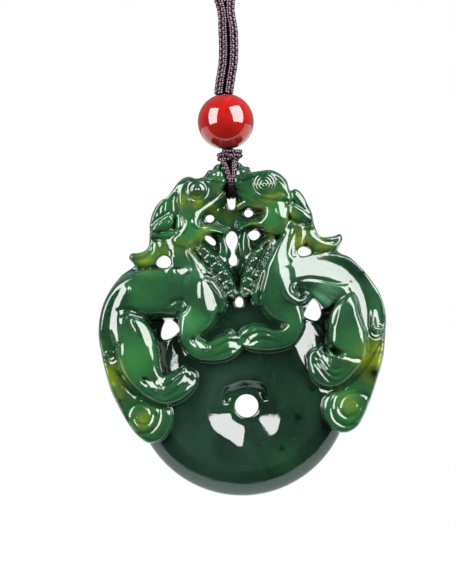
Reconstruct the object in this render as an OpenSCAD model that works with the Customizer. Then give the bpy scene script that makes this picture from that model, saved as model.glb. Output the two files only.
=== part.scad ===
// Carved jade pendant: two beasts with bushy tails climb over a pierced disc and meet head to head
// over the hanging slot. A cord through the slot rises through a wrapped knot and a red bead, and
// the doubled cord above the bead closes in a loop. Millimetres. X runs to the right, Y to the back
// and Z up. The origin is the inside top of the cord's loop, where the pendant hangs.

/* [Jade] */
// Width of the jade across the two beasts' hips.
jade_w = 51.4; // [46:0.2:58]
// Thickness of the jade at the highest relief.
jade_t = 10.5; // [9:0.5:12]
// Diameter of the hole through the disc.
disc_hole_d = 4.2; // [3:0.1:5]
// Width of the upright slot that the cord goes through.
slot_w = 1.7; // [1.6:0.1:2.2]

/* [Bead and cords] */
// Diameter of the red bead.
bead_d = 10; // [9:0.5:11]
// Diameter of the bore through the bead.
bead_bore = 2.6; // [2.6:0.1:3.2]
// Diameter of the thin cord through the slot, the knot and the bead.
tie_d = 1.2; // [1:0.05:1.25]
// Diameter of each leg of the braided cord above the bead.
cord_d = 1.6; // [1.4:0.05:2]
// Height of the wrapped knot.
knot_h = 2; // [1.6:0.1:2.4]
// Width of the wrapped knot.
knot_w = 4.4; // [4:0.1:5]

/* [Hanging] */
// Distance from the hanging point down to the middle of the disc's hole.
drop = 96; // [90:1:104]
// Width of the loop between the middles of its two legs.
loop_w = 12; // [8:0.5:16]

/* [Hidden] */
// One share is a hundredth of the jade's half width. The carving's tables hold places and widths in
// shares, out from the upright line through the hole and up from the hole's middle.
share = jade_w / 200;
// Heights of the carving are hundredths of its thickness, from the flat back to the front.
deep = jade_t / 100;
gap = 0.06;
tiny = 0.01;

// A section of a limb is an arch of points with two more for its foot, in the backing. A large limb
// has more points in its arch and more steps from row to row than a small one.
large_arch = 6;
small_arch = 4;
large_steps = 2;
small_steps = 1;
limb_foot = 16;
edge_steps = 2;

jade_green = [0.14, 0.40, 0.24];
bead_red = [0.68, 0.10, 0.08];
cord_purple = [0.22, 0.14, 0.20];

// The disc: its middle, its radius and the section of its rim as radius and height.
disc_at = [-2.3, 12.8];
disc_r = 75.5;
disc_section = [
    // share of the radius, height
    [0.93, 5], [0.975, 10], [1, 22], [1, 32], [0.975, 43], [0.92, 52], [0.84, 57.5], [0.78, 58.5]
];
dish_r = 17;
dish_low = 50;

// The edge of the backing behind the beasts, from the tail up to the crest, on each side.
// columns: out, up
left_edge = [
    [59, -18], [67.5, -20], [75.5, -16.5], [82, -8], [88, 4], [93, 17], [96.5, 33], [99, 51],
    [98, 66], [94, 79], [86, 91], [77, 99.5], [66, 104], [60, 110], [58, 120], [58, 130],
    [54, 141], [46, 148.5], [38, 157], [29, 162.5], [20, 161], [14, 165.5], [6, 170]
];
right_edge = [
    [60, -20], [69, -22.5], [77.5, -18], [83, -8], [89, 5], [94.5, 18], [98.5, 33], [101.5, 50],
    [101, 62], [97, 74.5], [89, 87], [79, 98.5], [67, 103.5], [59, 110], [56, 120], [55.5, 128],
    [52, 139], [45, 148], [39, 155], [31, 162], [20, 162.5], [13, 165.5], [6, 170.5]
];
// The rounding of the backing's edge. columns: height, how far in from the edge
backing_section = [[3, 2.5], [11, 0], [25, 0], [37, 3]];

// The limbs of one beast, as seen on the left. The one on the right is its mirror image, a little
// higher in places.
// columns: out, up, half width, middle height, half height, how much higher on the right
neck_to_paw = [
    [42, 122, 6, 48, 28, 1], [38, 111, 8.5, 48, 36, 2], [34, 99, 10, 48, 39, 3],
    [29, 88, 13, 48, 41, 4], [26, 77, 15, 48, 43, 4], [29, 67, 14, 48, 42, 4],
    [34, 57, 8.5, 49, 40, 4], [34, 49, 7, 50, 39, 4.5], [24, 39.5, 8.5, 50, 39, 5],
    [14.5, 42, 10.5, 51, 36, 5], [7.5, 44.5, 9.5, 50, 34, 3.5], [3.5, 45, 6, 50, 26, 3]
];
torso = [
    [26, 82, 11, 46, 33, 4], [42, 84, 15, 46, 38, 4], [56, 83.5, 17, 46, 41, 3],
    [69, 83.5, 16, 46, 41, 2], [80, 79, 12.5, 46, 39, 2], [88, 70, 10, 46, 37, 2],
    [91, 58, 9, 46, 34, 3], [92, 46, 7, 46, 29, 3]
];
haunch = [
    [84, 73, 1.5, 50, 22, 5], [77, 64, 8, 50, 37, 5], [73, 52, 13.5, 50, 44, 4],
    [72, 39, 14, 50, 45, 4], [69.5, 27, 12, 50, 42, 4], [62, 16.5, 11, 50, 38, 4],
    [53, 15.5, 11, 50, 36, 5], [45, 19, 10.5, 50, 33, 5], [38.5, 23.5, 6, 50, 25, 4]
];
tail = [
    [95, 40, 2.5, 42, 24, 2], [91, 28, 6, 42, 27, 1], [84, 15.5, 9.5, 42, 28, 1],
    [76, 4, 13.5, 42, 28, 0], [68.5, -4, 16, 42, 26, -1], [63, -10, 12, 42, 22, -1.5]
];
skull = [
    [52.5, 127.5, 5.5, 47, 24, 0], [48, 137, 8.5, 46, 30, 0], [38, 146.5, 11.5, 46, 36, 0],
    [27, 151, 11.5, 48, 38, 1], [16, 153, 9, 48, 34, 1], [8, 156, 7, 48, 28, 0]
];
muzzle = [
    [38, 128, 6, 48, 33, 1], [32, 136, 8, 48, 36, 1], [22, 143, 6, 48, 37, 1],
    [12, 149, 5, 48, 34, 1], [5.5, 154, 4.5, 47, 25, 0]
];
jaw = [
    [43, 123, 4, 48, 29, 1], [36, 119.5, 7, 48, 34, 1.5], [29, 119.5, 7, 48, 35, 2],
    [22, 123.5, 4.5, 48, 31, 1.5], [14, 124.5, 3.2, 48, 27, 0], [6, 122, 3, 48, 22, 0]
];
mane_lock = [
    [49, 125, 4, 46, 24, 0], [53.5, 115.5, 6, 46, 27, 1], [59, 108.5, 7, 46, 30, 2],
    [66, 106.5, 5.8, 46, 28, 2.5], [71, 108, 3.5, 46, 22, 3.5], [73, 110.5, 1.5, 46, 14, 4]
];
ear = [
    [56.5, 127, 1.2, 58, 20, -1], [51, 129.5, 3.8, 56, 26, -2], [46, 133, 3.8, 56, 26, -2],
    [42, 136, 1.2, 56, 20, -2]
];
strut = [
    [14, 127, 3, 46, 22, 0], [9, 119, 3.4, 46, 22, 0], [8, 110, 4, 44, 24, 0],
    [10, 102, 5, 44, 22, 0]
];
scale_band = [
    [28, 111, 4, 44, 22, 1], [22, 103, 5.5, 44, 25, 2], [15, 95, 6.2, 44, 26, 1],
    [9, 87, 6, 44, 26, 0], [4, 79, 5, 44, 22, 0]
];
chest_lock = [
    [25, 91.5, 1, 56, 22, 3], [20, 89, 4.1, 56, 32, 3], [15, 82, 4.4, 56, 34, 3],
    [13.5, 74, 4.4, 56, 33, 3], [16.5, 67, 3.6, 54, 28, 3]
];
hip_curl = [
    [96.5, 47, 2, 47, 24, 5], [91, 46.5, 3, 46, 32, 6], [87.5, 43, 3, 46, 36, 6],
    [89, 38.5, 2, 46, 34, 6]
];
large_limbs = [torso, neck_to_paw, haunch, tail, skull, muzzle, jaw, mane_lock];
small_limbs = [ear, strut, scale_band, chest_lock, hip_curl];

// Raised rings and round bosses. columns: out, up, radius, half width, top, how much higher on the right
rings = [[23, 152, 5.4, 1.5, 90, 1], [69, -4, 13, 2.6, 74, -1.5]];
bosses = [[23, 152, 3, 0, 88, 1], [71.5, -4, 6.2, 0, 80, 1], [41, 72, 4.5, 0, 84, 5]];

// Toes: three ridges on each paw, laid from the root to the tip.
// columns: out, up, half width, middle height, half height, how much higher on the right
front_toes = [
    [[24, 44, 1.4, 78, 7, 5], [15, 49, 2.4, 77, 9, 5], [6, 49.5, 2.2, 74, 8, 3.5]],
    [[24, 39, 1.4, 78, 7, 5], [14, 43, 2.6, 78, 9, 5], [4.5, 44, 2.2, 72, 8, 3.5]],
    [[22, 34.5, 1.4, 76, 7, 5], [14, 37, 2.6, 76, 9, 5], [6, 39, 2.2, 72, 8, 3.5]]
];
hind_toes = [
    [[57.5, 22.5, 1.6, 77, 9, 4], [49, 26, 2.6, 78, 9, 5], [41, 29, 2.2, 72, 8, 5]],
    [[57, 16, 1.4, 78, 8, 4], [48, 19.5, 2.8, 78, 9, 5], [39.5, 24, 2.2, 72, 8, 4]],
    [[55, 10, 1.4, 74, 8, 4], [47, 12.5, 2.6, 74, 9, 5], [40, 17.5, 2.2, 70, 8, 4]]
];

// Beads of the crest between the brows and the top. columns: out, up, radius, height
crest_beads = [[17.5, 162, 2.2, 46], [14.5, 165, 2.3, 48], [10, 167, 2.5, 50], [6.5, 168, 2.6, 52]];
crest_boss = [
    [0, 170, 3, 44, 16, 0], [0, 164, 8, 44, 22, 0], [0, 156, 8, 44, 20, 0], [0, 148, 6, 44, 16, 0]
];

// Holes cut through. columns: out to the right, up
left_belly = [
    [-50.5, 64.5], [-45.5, 61.5], [-43, 56.5], [-48.5, 53], [-54.5, 50.5], [-56, 54], [-54, 60.5]
];
right_belly = [
    [50.5, 70], [47, 65.5], [44.5, 60], [49, 57], [53.5, 56], [56, 60.5], [55, 67]
];
keyhole = [
    [-1.8, 122.5], [-5.6, 119], [-6, 114.5], [-3.4, 109.5], [-3, 106], [-5, 102.5], [-4.2, 99.2],
    [-1.8, 98.2], [0.6, 99.8], [0.8, 104], [-0.6, 107.5], [0.8, 111.5], [2.4, 116], [1.4, 120.5]
];
// Round and oval holes. columns: out to the right, up, half length, half width, lean of the length
oval_holes = [
    [-50, 104.6, 4.8, 3.9, 0], [48.5, 105, 5.2, 3.4, -15], [-16, 132, 3.1, 2.7, 0],
    [11.5, 134, 3.3, 2.6, 0], [-16.6, 117.2, 4.6, 2.1, -50], [13.6, 118.3, 4, 3.4, 0],
    [0, 72.5, 3, 3.6, 0]
];
slot_low = 137.5;
slot_high = 151;
// The saddle in the top of the crest, where the thin cord parts to the front and the back.
saddle_low = 163;
saddle_w = tie_d + 0.5;

// Places above the jade, in millimetres up from the middle of the disc's hole.
crest_top = 171 * share;
knot_z = crest_top + gap + knot_h / 2;
bead_z = knot_z + knot_h / 2 + gap + bead_d / 2;
cord_z = bead_z + bead_d / 2 + gap;

// The thin cord: one route from the bead's top down through the bead and the knot, over the saddle
// and down the front to the slot, through it, and up the back to the bead's top again.
// columns: right, back, up from the middle of the disc's hole
leg_y = tie_d / 2 + 0.01;
front_y = -jade_t * 0.17 - tie_d / 2 - 0.25;
back_y = jade_t / 2 + tie_d / 2 + 0.2;
slot_z = (slot_high - 1.2) * share - tie_d / 2;
saddle_z = saddle_low * share + tie_d / 2;
knot_low = knot_z - knot_h / 2;
tie_route = [
    [0, -leg_y, bead_z + bead_d / 2 - 0.4], [0, -leg_y, bead_z + 2], [0, -leg_y, bead_z - 2],
    [0, -leg_y, knot_z + 0.4], [0, -leg_y, knot_low + 0.3], [0, -leg_y - 0.15, knot_low - 0.5],
    [0, front_y * 0.5, saddle_z + 0.5], [0, front_y * 0.82, saddle_z + 0.1], [0, front_y, saddle_z - 0.9],
    [0, front_y, slot_z + 1.2], [0, front_y * 0.85, slot_z + 0.3], [0, front_y * 0.45, slot_z],
    [0, 0, slot_z], [0, back_y * 0.6, slot_z], [0, back_y * 0.92, slot_z + 0.3], [0, back_y, slot_z + 1.4],
    [0, back_y, saddle_z - 1.2], [0, back_y * 0.94, saddle_z - 0.1], [0, back_y * 0.75, saddle_z + 0.2],
    [0, back_y * 0.45, saddle_z + 0.2], [0, leg_y + 0.8, saddle_z + 0.4], [0, leg_y + 0.15, knot_low - 0.5],
    [0, leg_y, knot_low + 0.3], [0, leg_y, knot_z + 0.4], [0, leg_y, bead_z - 2], [0, leg_y, bead_z + 2],
    [0, leg_y, bead_z + bead_d / 2 - 0.4]
];

// The braided cord: up from the bead side by side, leaning a little to the right, then open in a
// loop and back down. columns: right, back, up from the middle of the disc's hole
side = cord_d / 2 + 0.02;
lean = 1.6;
loop_top = drop + cord_d / 2;
cord_route = [
    [side, 0, cord_z], [side + 0.4, 0, cord_z + 2], [side + lean * 0.8, 0, cord_z + 6],
    [side + lean, 0, cord_z + 11], [side + lean * 0.9, 0, cord_z + 16],
    [lean * 0.7 + loop_w * 0.3, 0, loop_top - 16], [lean * 0.3 + loop_w * 0.48, 0, loop_top - 10.5],
    [loop_w * 0.5, 0, loop_top - 6.5], [loop_w * 0.4, 0, loop_top - 2.6], [loop_w * 0.2, 0, loop_top - 0.5],
    [0, 0, loop_top],
    [-loop_w * 0.2, 0, loop_top - 0.5], [-loop_w * 0.4, 0, loop_top - 2.6], [-loop_w * 0.5, 0, loop_top - 6.5],
    [lean * 0.3 - loop_w * 0.48, 0, loop_top - 10.5], [lean * 0.7 - loop_w * 0.3, 0, loop_top - 16],
    [lean * 0.9 - side, 0, cord_z + 16], [lean - side, 0, cord_z + 11],
    [lean * 0.8 - side, 0, cord_z + 6], [0.4 - side, 0, cord_z + 2], [-side, 0, cord_z]
];

// A point at part t of the way from b to c, on the smooth curve through a, b, c and d.
function along(a, b, c, d, t) = 0.5 * (2 * b + (c - a) * t + (2 * a - 5 * b + 4 * c - d) * t * t
    + (3 * b - a - 3 * c + d) * t * t * t);

// The smooth open curve through rows p, with n steps from one row to the next.
function open_curve(p, n) = let (last = len(p) - 1) [
    for (i = [0 : last - 1], s = [0 : n - 1])
        along(p[max(i - 1, 0)], p[i], p[i + 1], p[min(i + 2, last)], s / n),
    p[last]
];

// The smooth closed curve through rows p, with n steps from one row to the next.
function closed_curve(p, n) = let (c = len(p)) [
    for (i = [0 : c - 1], s = [0 : n - 1])
        along(p[(i + c - 1) % c], p[i], p[(i + 1) % c], p[(i + 2) % c], s / n)
];

function unit(v) = v / max(norm(v), tiny);
function flat(v) = [v[0], v[1]];

// Direction of a path at its point i, in the plane of the carving.
function heading(p, i) = unit(flat(p[min(i + 1, len(p) - 1)]) - flat(p[max(i - 1, 0)]));

// Faces of a skin over rings of points, one after another, closed with a face at each end.
function skin_faces(rings, sides) = concat(
    [[for (s = [sides - 1 : -1 : 0]) s]],
    [for (r = [0 : rings - 2], s = [0 : sides - 1])
        let (a = r * sides + s, b = r * sides + (s + 1) % sides)
            each [[a, b, b + sides], [a, b + sides, a + sides]]],
    [[for (s = [0 : sides - 1]) (rings - 1) * sides + s]]
);

// Rows of a limb for one side: right is 0 on the left and 1 on the right.
function for_side(rows, right) = [for (r = rows) [r[0], r[1] + r[5] * right, r[2], r[3], r[4]]];

// A limb with oval sections across its path, in shares and hundredths of the thickness.
module limb(rows, right, arch, steps) {
    path = open_curve(for_side(rows, right), steps);
    sides = arch + 2;
    points = [
        for (i = [0 : len(path) - 1])
            let (p = path[i], h = heading(path, i), across = [h[1], -h[0]])
            for (s = [0 : sides - 1])
                let (
                    a = 180 * s / (arch - 1), foot = s >= arch,
                    w = p[2] * (foot ? (s == arch ? -0.85 : 0.85) : cos(a))
                )
                [
                    (p[0] + across[0] * w) * share, (p[1] + across[1] * w) * share,
                    (foot ? limb_foot : p[3] + p[4] * sin(a)) * deep
                ]
    ];
    polyhedron(points, skin_faces(len(path), sides));
}

// The inner copy of a closed outline that runs anticlockwise, moved in by d.
function moved_in(p, d) = let (c = len(p)) [
    for (i = [0 : c - 1]) let (h = unit(p[(i + 1) % c] - p[(i + c - 1) % c])) p[i] + d * [-h[1], h[0]]
];

// The backing behind both beasts, with its edge rounded.
module backing() {
    edge = closed_curve(concat(right_edge, [for (i = [len(left_edge) - 1 : -1 : 0])
        [-left_edge[i][0], left_edge[i][1]]]), edge_steps);
    points = [
        for (i = [len(backing_section) - 1 : -1 : 0])
            let (row = backing_section[i])
                for (p = moved_in(edge, row[1])) [p[0] * share, p[1] * share, row[0] * deep]
    ];
    polyhedron(points, skin_faces(len(backing_section), len(edge)));
}

// The disc that the beasts climb over, with a shallow dish round its hole.
module disc() {
    profile = concat([[0, 5 * deep]], [for (r = disc_section) [r[0] * disc_r * share, r[1] * deep]],
        [[0, 58.5 * deep]]);
    difference() {
        translate([disc_at[0] * share, disc_at[1] * share, 0])
            rotate_extrude($fn = 56)
                polygon(profile);
        translate([0, 0, dish_low * deep])
            cylinder(h = 9 * deep, r1 = disc_hole_d / 2, r2 = dish_r * share, $fn = 28);
    }
}

// A raised ring with a round top.
module ring(row, right) {
    translate([row[0] * share, (row[1] + row[5] * right) * share, (row[4] - 8) * deep])
        rotate_extrude($fn = 14)
            translate([row[2] * share, 0])
                circle(r = row[3] * share, $fn = 6);
}

// A round boss: a low dome on a stem that goes down into the backing.
module boss(row, right) {
    r = row[2] * share;
    translate([row[0] * share, (row[1] + row[5] * right) * share, 0])
        hull() {
            translate([0, 0, 40 * deep])
                cylinder(h = tiny, r = r, $fn = 12);
            translate([0, 0, (row[4] - 10) * deep])
                cylinder(h = tiny, r = r * 0.9, $fn = 12);
            translate([0, 0, row[4] * deep])
                cylinder(h = tiny, r = r * 0.4, $fn = 12);
        }
}

// One bead of the crest, standing on the backing.
module crest_bead(row) {
    translate([row[0] * share, row[1] * share, 0])
        hull() {
            translate([0, 0, 20 * deep])
                cylinder(h = tiny, r = row[2] * share, $fn = 8);
            translate([0, 0, row[3] * deep])
                sphere(r = row[2] * share, $fn = 8);
        }
}

// Small raised scales in pairs down the band that runs from the jaw to the middle.
module scales(right) {
    path = open_curve(for_side(scale_band, right), 2);
    for (i = [1 : len(path) - 2], w = [-0.45, 0.45]) {
        p = path[i];
        h = heading(path, i);
        translate([(p[0] + h[1] * w * p[2]) * share, (p[1] - h[0] * w * p[2]) * share,
            (p[3] + p[4] * 0.8) * deep])
            cylinder(h = 5 * deep, r1 = 2.4 * share, r2 = 0.8 * share, $fn = 4);
    }
}

// One beast, drawn on the right of the upright line.
module beast(right) {
    for (rows = large_limbs)
        limb(rows, right, large_arch, large_steps);
    for (rows = concat(small_limbs, front_toes, hind_toes))
        limb(rows, right, small_arch, small_steps);
    for (row = rings)
        ring(row, right);
    for (row = bosses)
        boss(row, right);
    for (row = crest_beads)
        crest_bead(row);
    scales(right);
}

// The tool that cuts a hole of a given outline through the whole thickness.
module through(outline) {
    translate([0, 0, -jade_t])
        linear_extrude(3 * jade_t)
            polygon([for (p = closed_curve(outline, 2)) p * share]);
}

// The tool that cuts the saddle, open at the top.
module saddle() {
    translate([0, 0, -jade_t])
        linear_extrude(3 * jade_t)
            hull()
                for (z = [saddle_low * share + saddle_w / 2, 190 * share])
                    translate([0, z])
                        circle(r = saddle_w / 2, $fn = 16);
}

module holes() {
    saddle();
    through(left_belly);
    through(right_belly);
    through(keyhole);
    for (row = oval_holes)
        translate([row[0] * share, row[1] * share, -jade_t])
            rotate([0, 0, row[4]])
                linear_extrude(3 * jade_t)
                    polygon([for (a = [0 : 30 : 330]) [row[2] * cos(a), row[3] * sin(a)] * share]);
    translate([0, 0, -jade_t])
        cylinder(h = 3 * jade_t, r = disc_hole_d / 2, $fn = 28);
    translate([0, 0, -jade_t])
        linear_extrude(3 * jade_t)
            hull() {
                translate([0, slot_low * share + slot_w / 2])
                    circle(r = slot_w / 2, $fn = 12);
                translate([0, slot_high * share - slot_w / 2])
                    circle(r = slot_w / 2, $fn = 12);
            }
}

// The whole carving: one piece of jade.
module jade_carving() {
    color(jade_green)
        translate([0, jade_t / 2, -drop])
            rotate([90, 0, 0])
                difference() {
                    union() {
                        backing();
                        disc();
                        limb(crest_boss, 0, large_arch, large_steps);
                        beast(1);
                        mirror([1, 0, 0])
                            beast(0);
                    }
                    holes();
                }
}

// The polished bead, drilled through.
module red_bead() {
    color(bead_red)
        translate([0, 0, bead_z - drop])
            difference() {
                sphere(r = bead_d / 2, $fn = 96);
                translate([0, 0, -bead_d])
                    cylinder(h = 2 * bead_d, r = bead_bore / 2, $fn = 48);
            }
}

// The knot, wound round both legs of the thin cord.
module wrap_knot() {
    rounding = knot_h * 0.35;
    color(cord_purple)
        translate([0, 0, knot_z - drop])
            difference() {
                translate([0.3, 0, 0])
                    rotate_extrude($fn = 56)
                        union() {
                            translate([0, -knot_h / 2])
                                square([knot_w / 2 - rounding, knot_h]);
                            translate([0, -knot_h / 2 + rounding])
                                square([knot_w / 2, knot_h - 2 * rounding]);
                            for (z = [-1, 1])
                                translate([knot_w / 2 - rounding, z * (knot_h / 2 - rounding)])
                                    circle(r = rounding, $fn = 32);
                        }
                translate([0, 0, -knot_h])
                    cylinder(h = 2 * knot_h, r = bead_bore / 2, $fn = 48);
            }
}

// A round tube of diameter d along the smooth curve through the route's points, which nowhere runs
// the way of the normal.
module tube(route, d, steps, sides, normal) {
    path = open_curve(route, steps);
    last = len(path) - 1;
    dirs = [for (i = [0 : last]) unit(path[min(i + 1, last)] - path[max(i - 1, 0)])];
    points = [
        for (i = [0 : last])
            let (e = unit(cross(normal, dirs[i])), f = cross(dirs[i], e))
            for (s = [0 : sides - 1])
                let (a = 360 * (s + 0.5) / sides)
                path[i] + d / 2 * (cos(a) * e - sin(a) * f)
    ];
    polyhedron(points, skin_faces(len(path), sides));
}

// The thin cord that holds the jade, round the bar above the slot.
module tie_cord() {
    color(cord_purple)
        translate([0, 0, -drop])
            tube(tie_route, tie_d, 2, 8, [1, 0, 0]);
}

// The doubled braided cord above the bead, closed in a loop.
module hanging_cord() {
    color(cord_purple)
        translate([0, 0, -drop])
            tube(cord_route, cord_d, 2, 8, [0, 1, 0]);
}

jade_carving();
red_bead();
wrap_knot();
tie_cord();
hanging_cord();
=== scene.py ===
import math

import bpy
import numpy as np
from mathutils import Matrix, Vector


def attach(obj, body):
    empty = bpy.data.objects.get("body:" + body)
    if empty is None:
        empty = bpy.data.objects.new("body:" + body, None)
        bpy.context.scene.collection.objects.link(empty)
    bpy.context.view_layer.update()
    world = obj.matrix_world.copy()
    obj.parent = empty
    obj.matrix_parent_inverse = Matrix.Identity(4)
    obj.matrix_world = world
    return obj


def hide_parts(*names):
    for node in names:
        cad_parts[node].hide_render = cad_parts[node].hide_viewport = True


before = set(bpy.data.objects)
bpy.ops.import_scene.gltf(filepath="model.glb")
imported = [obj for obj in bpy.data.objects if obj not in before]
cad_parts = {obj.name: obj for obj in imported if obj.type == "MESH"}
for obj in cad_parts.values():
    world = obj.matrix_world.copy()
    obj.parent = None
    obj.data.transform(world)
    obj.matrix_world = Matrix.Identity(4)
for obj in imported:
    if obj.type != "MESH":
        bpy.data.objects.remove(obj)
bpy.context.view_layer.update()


# Camera

# The photograph is 456 by 586 pixels, and the bead of 10 mm is 56 pixels wide in it. The pendant
# hangs a little turned in the picture.
PICTURE_TALL = 586
PIXEL = 0.010 / 56
TURN = math.radians(4.2)
AIM = Vector((-0.001845, -0.001, -0.075525))
DISTANCE = 0.62
FILM = 36


def new_object(name, data):
    """An object at the origin."""
    thing = bpy.data.objects.new(name, data)
    bpy.context.collection.objects.link(thing)
    return thing


def set_camera():
    data = bpy.data.cameras.new("camera")
    data.sensor_width = FILM
    data.lens = FILM * DISTANCE / (PICTURE_TALL * PIXEL)
    data.clip_start, data.clip_end = 0.01, 10
    camera = new_object("camera", data)
    right = Vector((math.cos(TURN), 0, -math.sin(TURN)))
    up = Vector((math.sin(TURN), 0, math.cos(TURN)))
    back = Vector((0, -1, 0))
    turned = Matrix((right, up, back)).transposed().to_4x4()
    camera.matrix_world = Matrix.Translation(AIM + back * DISTANCE) @ turned
    bpy.context.scene.camera = camera


set_camera()


# Trees of nodes
class Number:
    """A number that a node gives. Sums, products and the like of it make further nodes."""

    def __init__(self, tree, socket):
        self.tree, self.socket = tree, socket

    def made(self, what, first, second):
        node = add(self.tree, "ShaderNodeMath", {0: first, 1: second}, operation=what)
        return Number(self.tree, node.outputs[0])

    def of(self, what, other=0.0):
        return self.made(what, self, other)

    def __add__(self, other):
        return self.of("ADD", other)

    def __sub__(self, other):
        return self.of("SUBTRACT", other)

    def __rsub__(self, other):
        return self.made("SUBTRACT", other, self)

    def __mul__(self, other):
        return self.of("MULTIPLY", other)

    def __truediv__(self, other):
        return self.of("DIVIDE", other)

    def __mod__(self, other):
        return self.of("MODULO", other)

    def __pow__(self, other):
        return self.of("POWER", other)

    def __abs__(self):
        return self.of("ABSOLUTE")

    def spread(self, low, high, to_low=0.0, to_high=1.0):
        """The number with low to high brought to another range, and held inside it."""
        node = add(self.tree, "ShaderNodeMapRange", {"Value": self, "From Min": low, "From Max": high,
                                                     "To Min": to_low, "To Max": to_high})
        return Number(self.tree, node.outputs[0])


def fill(tree, node, inputs):
    """Sets or links a node's inputs."""
    for key, value in inputs.items():
        if isinstance(value, Number):
            value = value.socket
        if isinstance(value, bpy.types.NodeSocket):
            tree.links.new(value, node.inputs[key])
        else:
            node.inputs[key].default_value = value


def add(tree, kind, inputs=None, **settings):
    """A node with its settings and inputs."""
    node = tree.nodes.new(kind)
    for key, value in settings.items():
        setattr(node, key, value)
    fill(tree, node, inputs or {})
    return node


# Cords
BRAID_INPUTS = {"Strands": "Int", "Cord Radius": "Float", "Strand Radius": "Float", "Turns": "Float",
                "Points": "Int", "Sides": "Int", "Pinch": "Float", "Material": "Material"}
FULL_TURN = 2 * math.pi


def braid_tree():
    """Strands that wind both ways round a route, over and under each other, as in a braided cord."""
    tree = bpy.data.node_groups.new("braided cord", "GeometryNodeTree")
    face = tree.interface
    face.new_socket("Geometry", in_out="INPUT", socket_type="NodeSocketGeometry")
    for name, kind in BRAID_INPUTS.items():
        face.new_socket(name, in_out="INPUT", socket_type="NodeSocket" + kind)
    face.new_socket("Geometry", in_out="OUTPUT", socket_type="NodeSocketGeometry")
    given = add(tree, "NodeGroupInput").outputs
    strands, cord, strand, turns, pinch = [Number(tree, given[name]) for name in (
        "Strands", "Cord Radius", "Strand Radius", "Turns", "Pinch")]
    route = add(tree, "GeometryNodeResampleCurve", {"Curve": given["Geometry"], "Count": given["Points"]})
    copies = add(tree, "GeometryNodeDuplicateElements", {"Geometry": route.outputs[0], "Amount": strands},
                 domain="SPLINE")
    number = Number(tree, copies.outputs["Duplicate Index"])
    part = Number(tree, add(tree, "GeometryNodeSplineParameter").outputs["Factor"])
    along = add(tree, "GeometryNodeInputTangent").outputs[0]
    out = add(tree, "GeometryNodeInputNormal").outputs[0]
    side = add(tree, "ShaderNodeVectorMath", {0: along, 1: out}, operation="CROSS_PRODUCT").outputs[0]
    odd = number % 2
    pairs = strands / 2
    start = (number / 2).of("FLOOR") * FULL_TURN / pairs
    wound = part * turns * FULL_TURN
    angle = wound * (odd * 2 - 1) + start
    # A strand goes over and under as it meets the ones that wind the other way.
    weave = (wound * pairs + odd * math.pi).of("SINE")
    reach = cord - strand * 1.7 + weave * strand * 0.7
    # The ends draw in a little, where the cord goes into a bore.
    ease = (part.of("MINIMUM", 1 - part) * 40).of("MINIMUM", 1)
    reach = reach * (1 - pinch * (1 - ease))
    shifts = [add(tree, "ShaderNodeVectorMath", {0: way, "Scale": angle.of(turn) * reach}, operation="SCALE")
              for way, turn in ((out, "COSINE"), (side, "SINE"))]
    shift = add(tree, "ShaderNodeVectorMath", {0: shifts[0].outputs[0], 1: shifts[1].outputs[0]},
                operation="ADD")
    section = add(tree, "GeometryNodeCurvePrimitiveCircle",
                  {"Resolution": given["Sides"], "Radius": strand}, mode="RADIUS")
    made = copies.outputs["Geometry"]
    for kind, key, inputs in (
            ("GeometryNodeSetPosition", "Geometry", {"Offset": shift.outputs[0]}),
            ("GeometryNodeCurveToMesh", "Curve", {"Profile Curve": section.outputs[0], "Fill Caps": True}),
            ("GeometryNodeSetShadeSmooth", "Geometry", {}),
            ("GeometryNodeRealizeInstances", "Geometry", {}),
            ("GeometryNodeSetMaterial", "Geometry", {"Material": given["Material"]}),
            ("NodeGroupOutput", "Geometry", {})):
        node = add(tree, kind, {key: made, **inputs})
        made = node.outputs[0] if node.outputs else None
    return tree


def as_plain_mesh(thing, tree, sizes, name):
    """Runs a tree on an object and gives its result as a mesh piece of its own."""
    run = thing.modifiers.new("make", "NODES")
    run.node_group = tree
    for socket in tree.interface.items_tree:
        if socket.item_type == "SOCKET" and socket.in_out == "INPUT" and socket.name in sizes:
            run[socket.identifier] = sizes[socket.name]
    bpy.context.view_layer.update()
    view = bpy.context.evaluated_depsgraph_get()
    mesh = bpy.data.meshes.new_from_object(thing.evaluated_get(view), depsgraph=view)
    thing.modifiers.remove(run)
    bpy.data.objects.remove(thing)
    mesh.name = name
    return new_object(name, mesh)


def in_metres(rows, lower=0.0):
    """A table in millimetres as places, moved down by some metres."""
    return [Vector(r) / 1000 - Vector((0, 0, lower)) for r in rows]


def smooth_points(rows, steps):
    p = [rows[0], *rows, rows[-1]]
    out = []
    for a, b, c, d in zip(p, p[1:], p[2:], p[3:]):
        for k in range(steps):
            t = k / steps
            out.append(0.5 * (2 * b + (c - a) * t + (2 * a - 5 * b + 4 * c - d) * t * t
                              + (3 * b - a - 3 * c + d) * t ** 3))
    return out + [rows[-1]]


def route_length(points):
    return sum((b - a).length for a, b in zip(points, points[1:]))


def braided(name, points, diameter, strands, pitch, finish, sides=6, per_turn=14, pinch=0.0, strand=0.12):
    """A braided cord along points. pitch is the length of one turn of a strand."""
    data = bpy.data.curves.new(name + "_route", "CURVE")
    data.dimensions = "3D"
    line = data.splines.new("POLY")
    line.points.add(len(points) - 1)
    for p, q in zip(line.points, points):
        p.co = (*q, 1)
    turns = round(route_length(points) / pitch)
    return as_plain_mesh(new_object(name + "_route", data), BRAID, {
        "Strands": strands, "Cord Radius": diameter / 2, "Strand Radius": diameter * strand,
        "Turns": float(turns), "Points": int(turns * per_turn), "Sides": sides, "Pinch": pinch,
        "Material": finish}, name)


# The carving's forms

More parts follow.
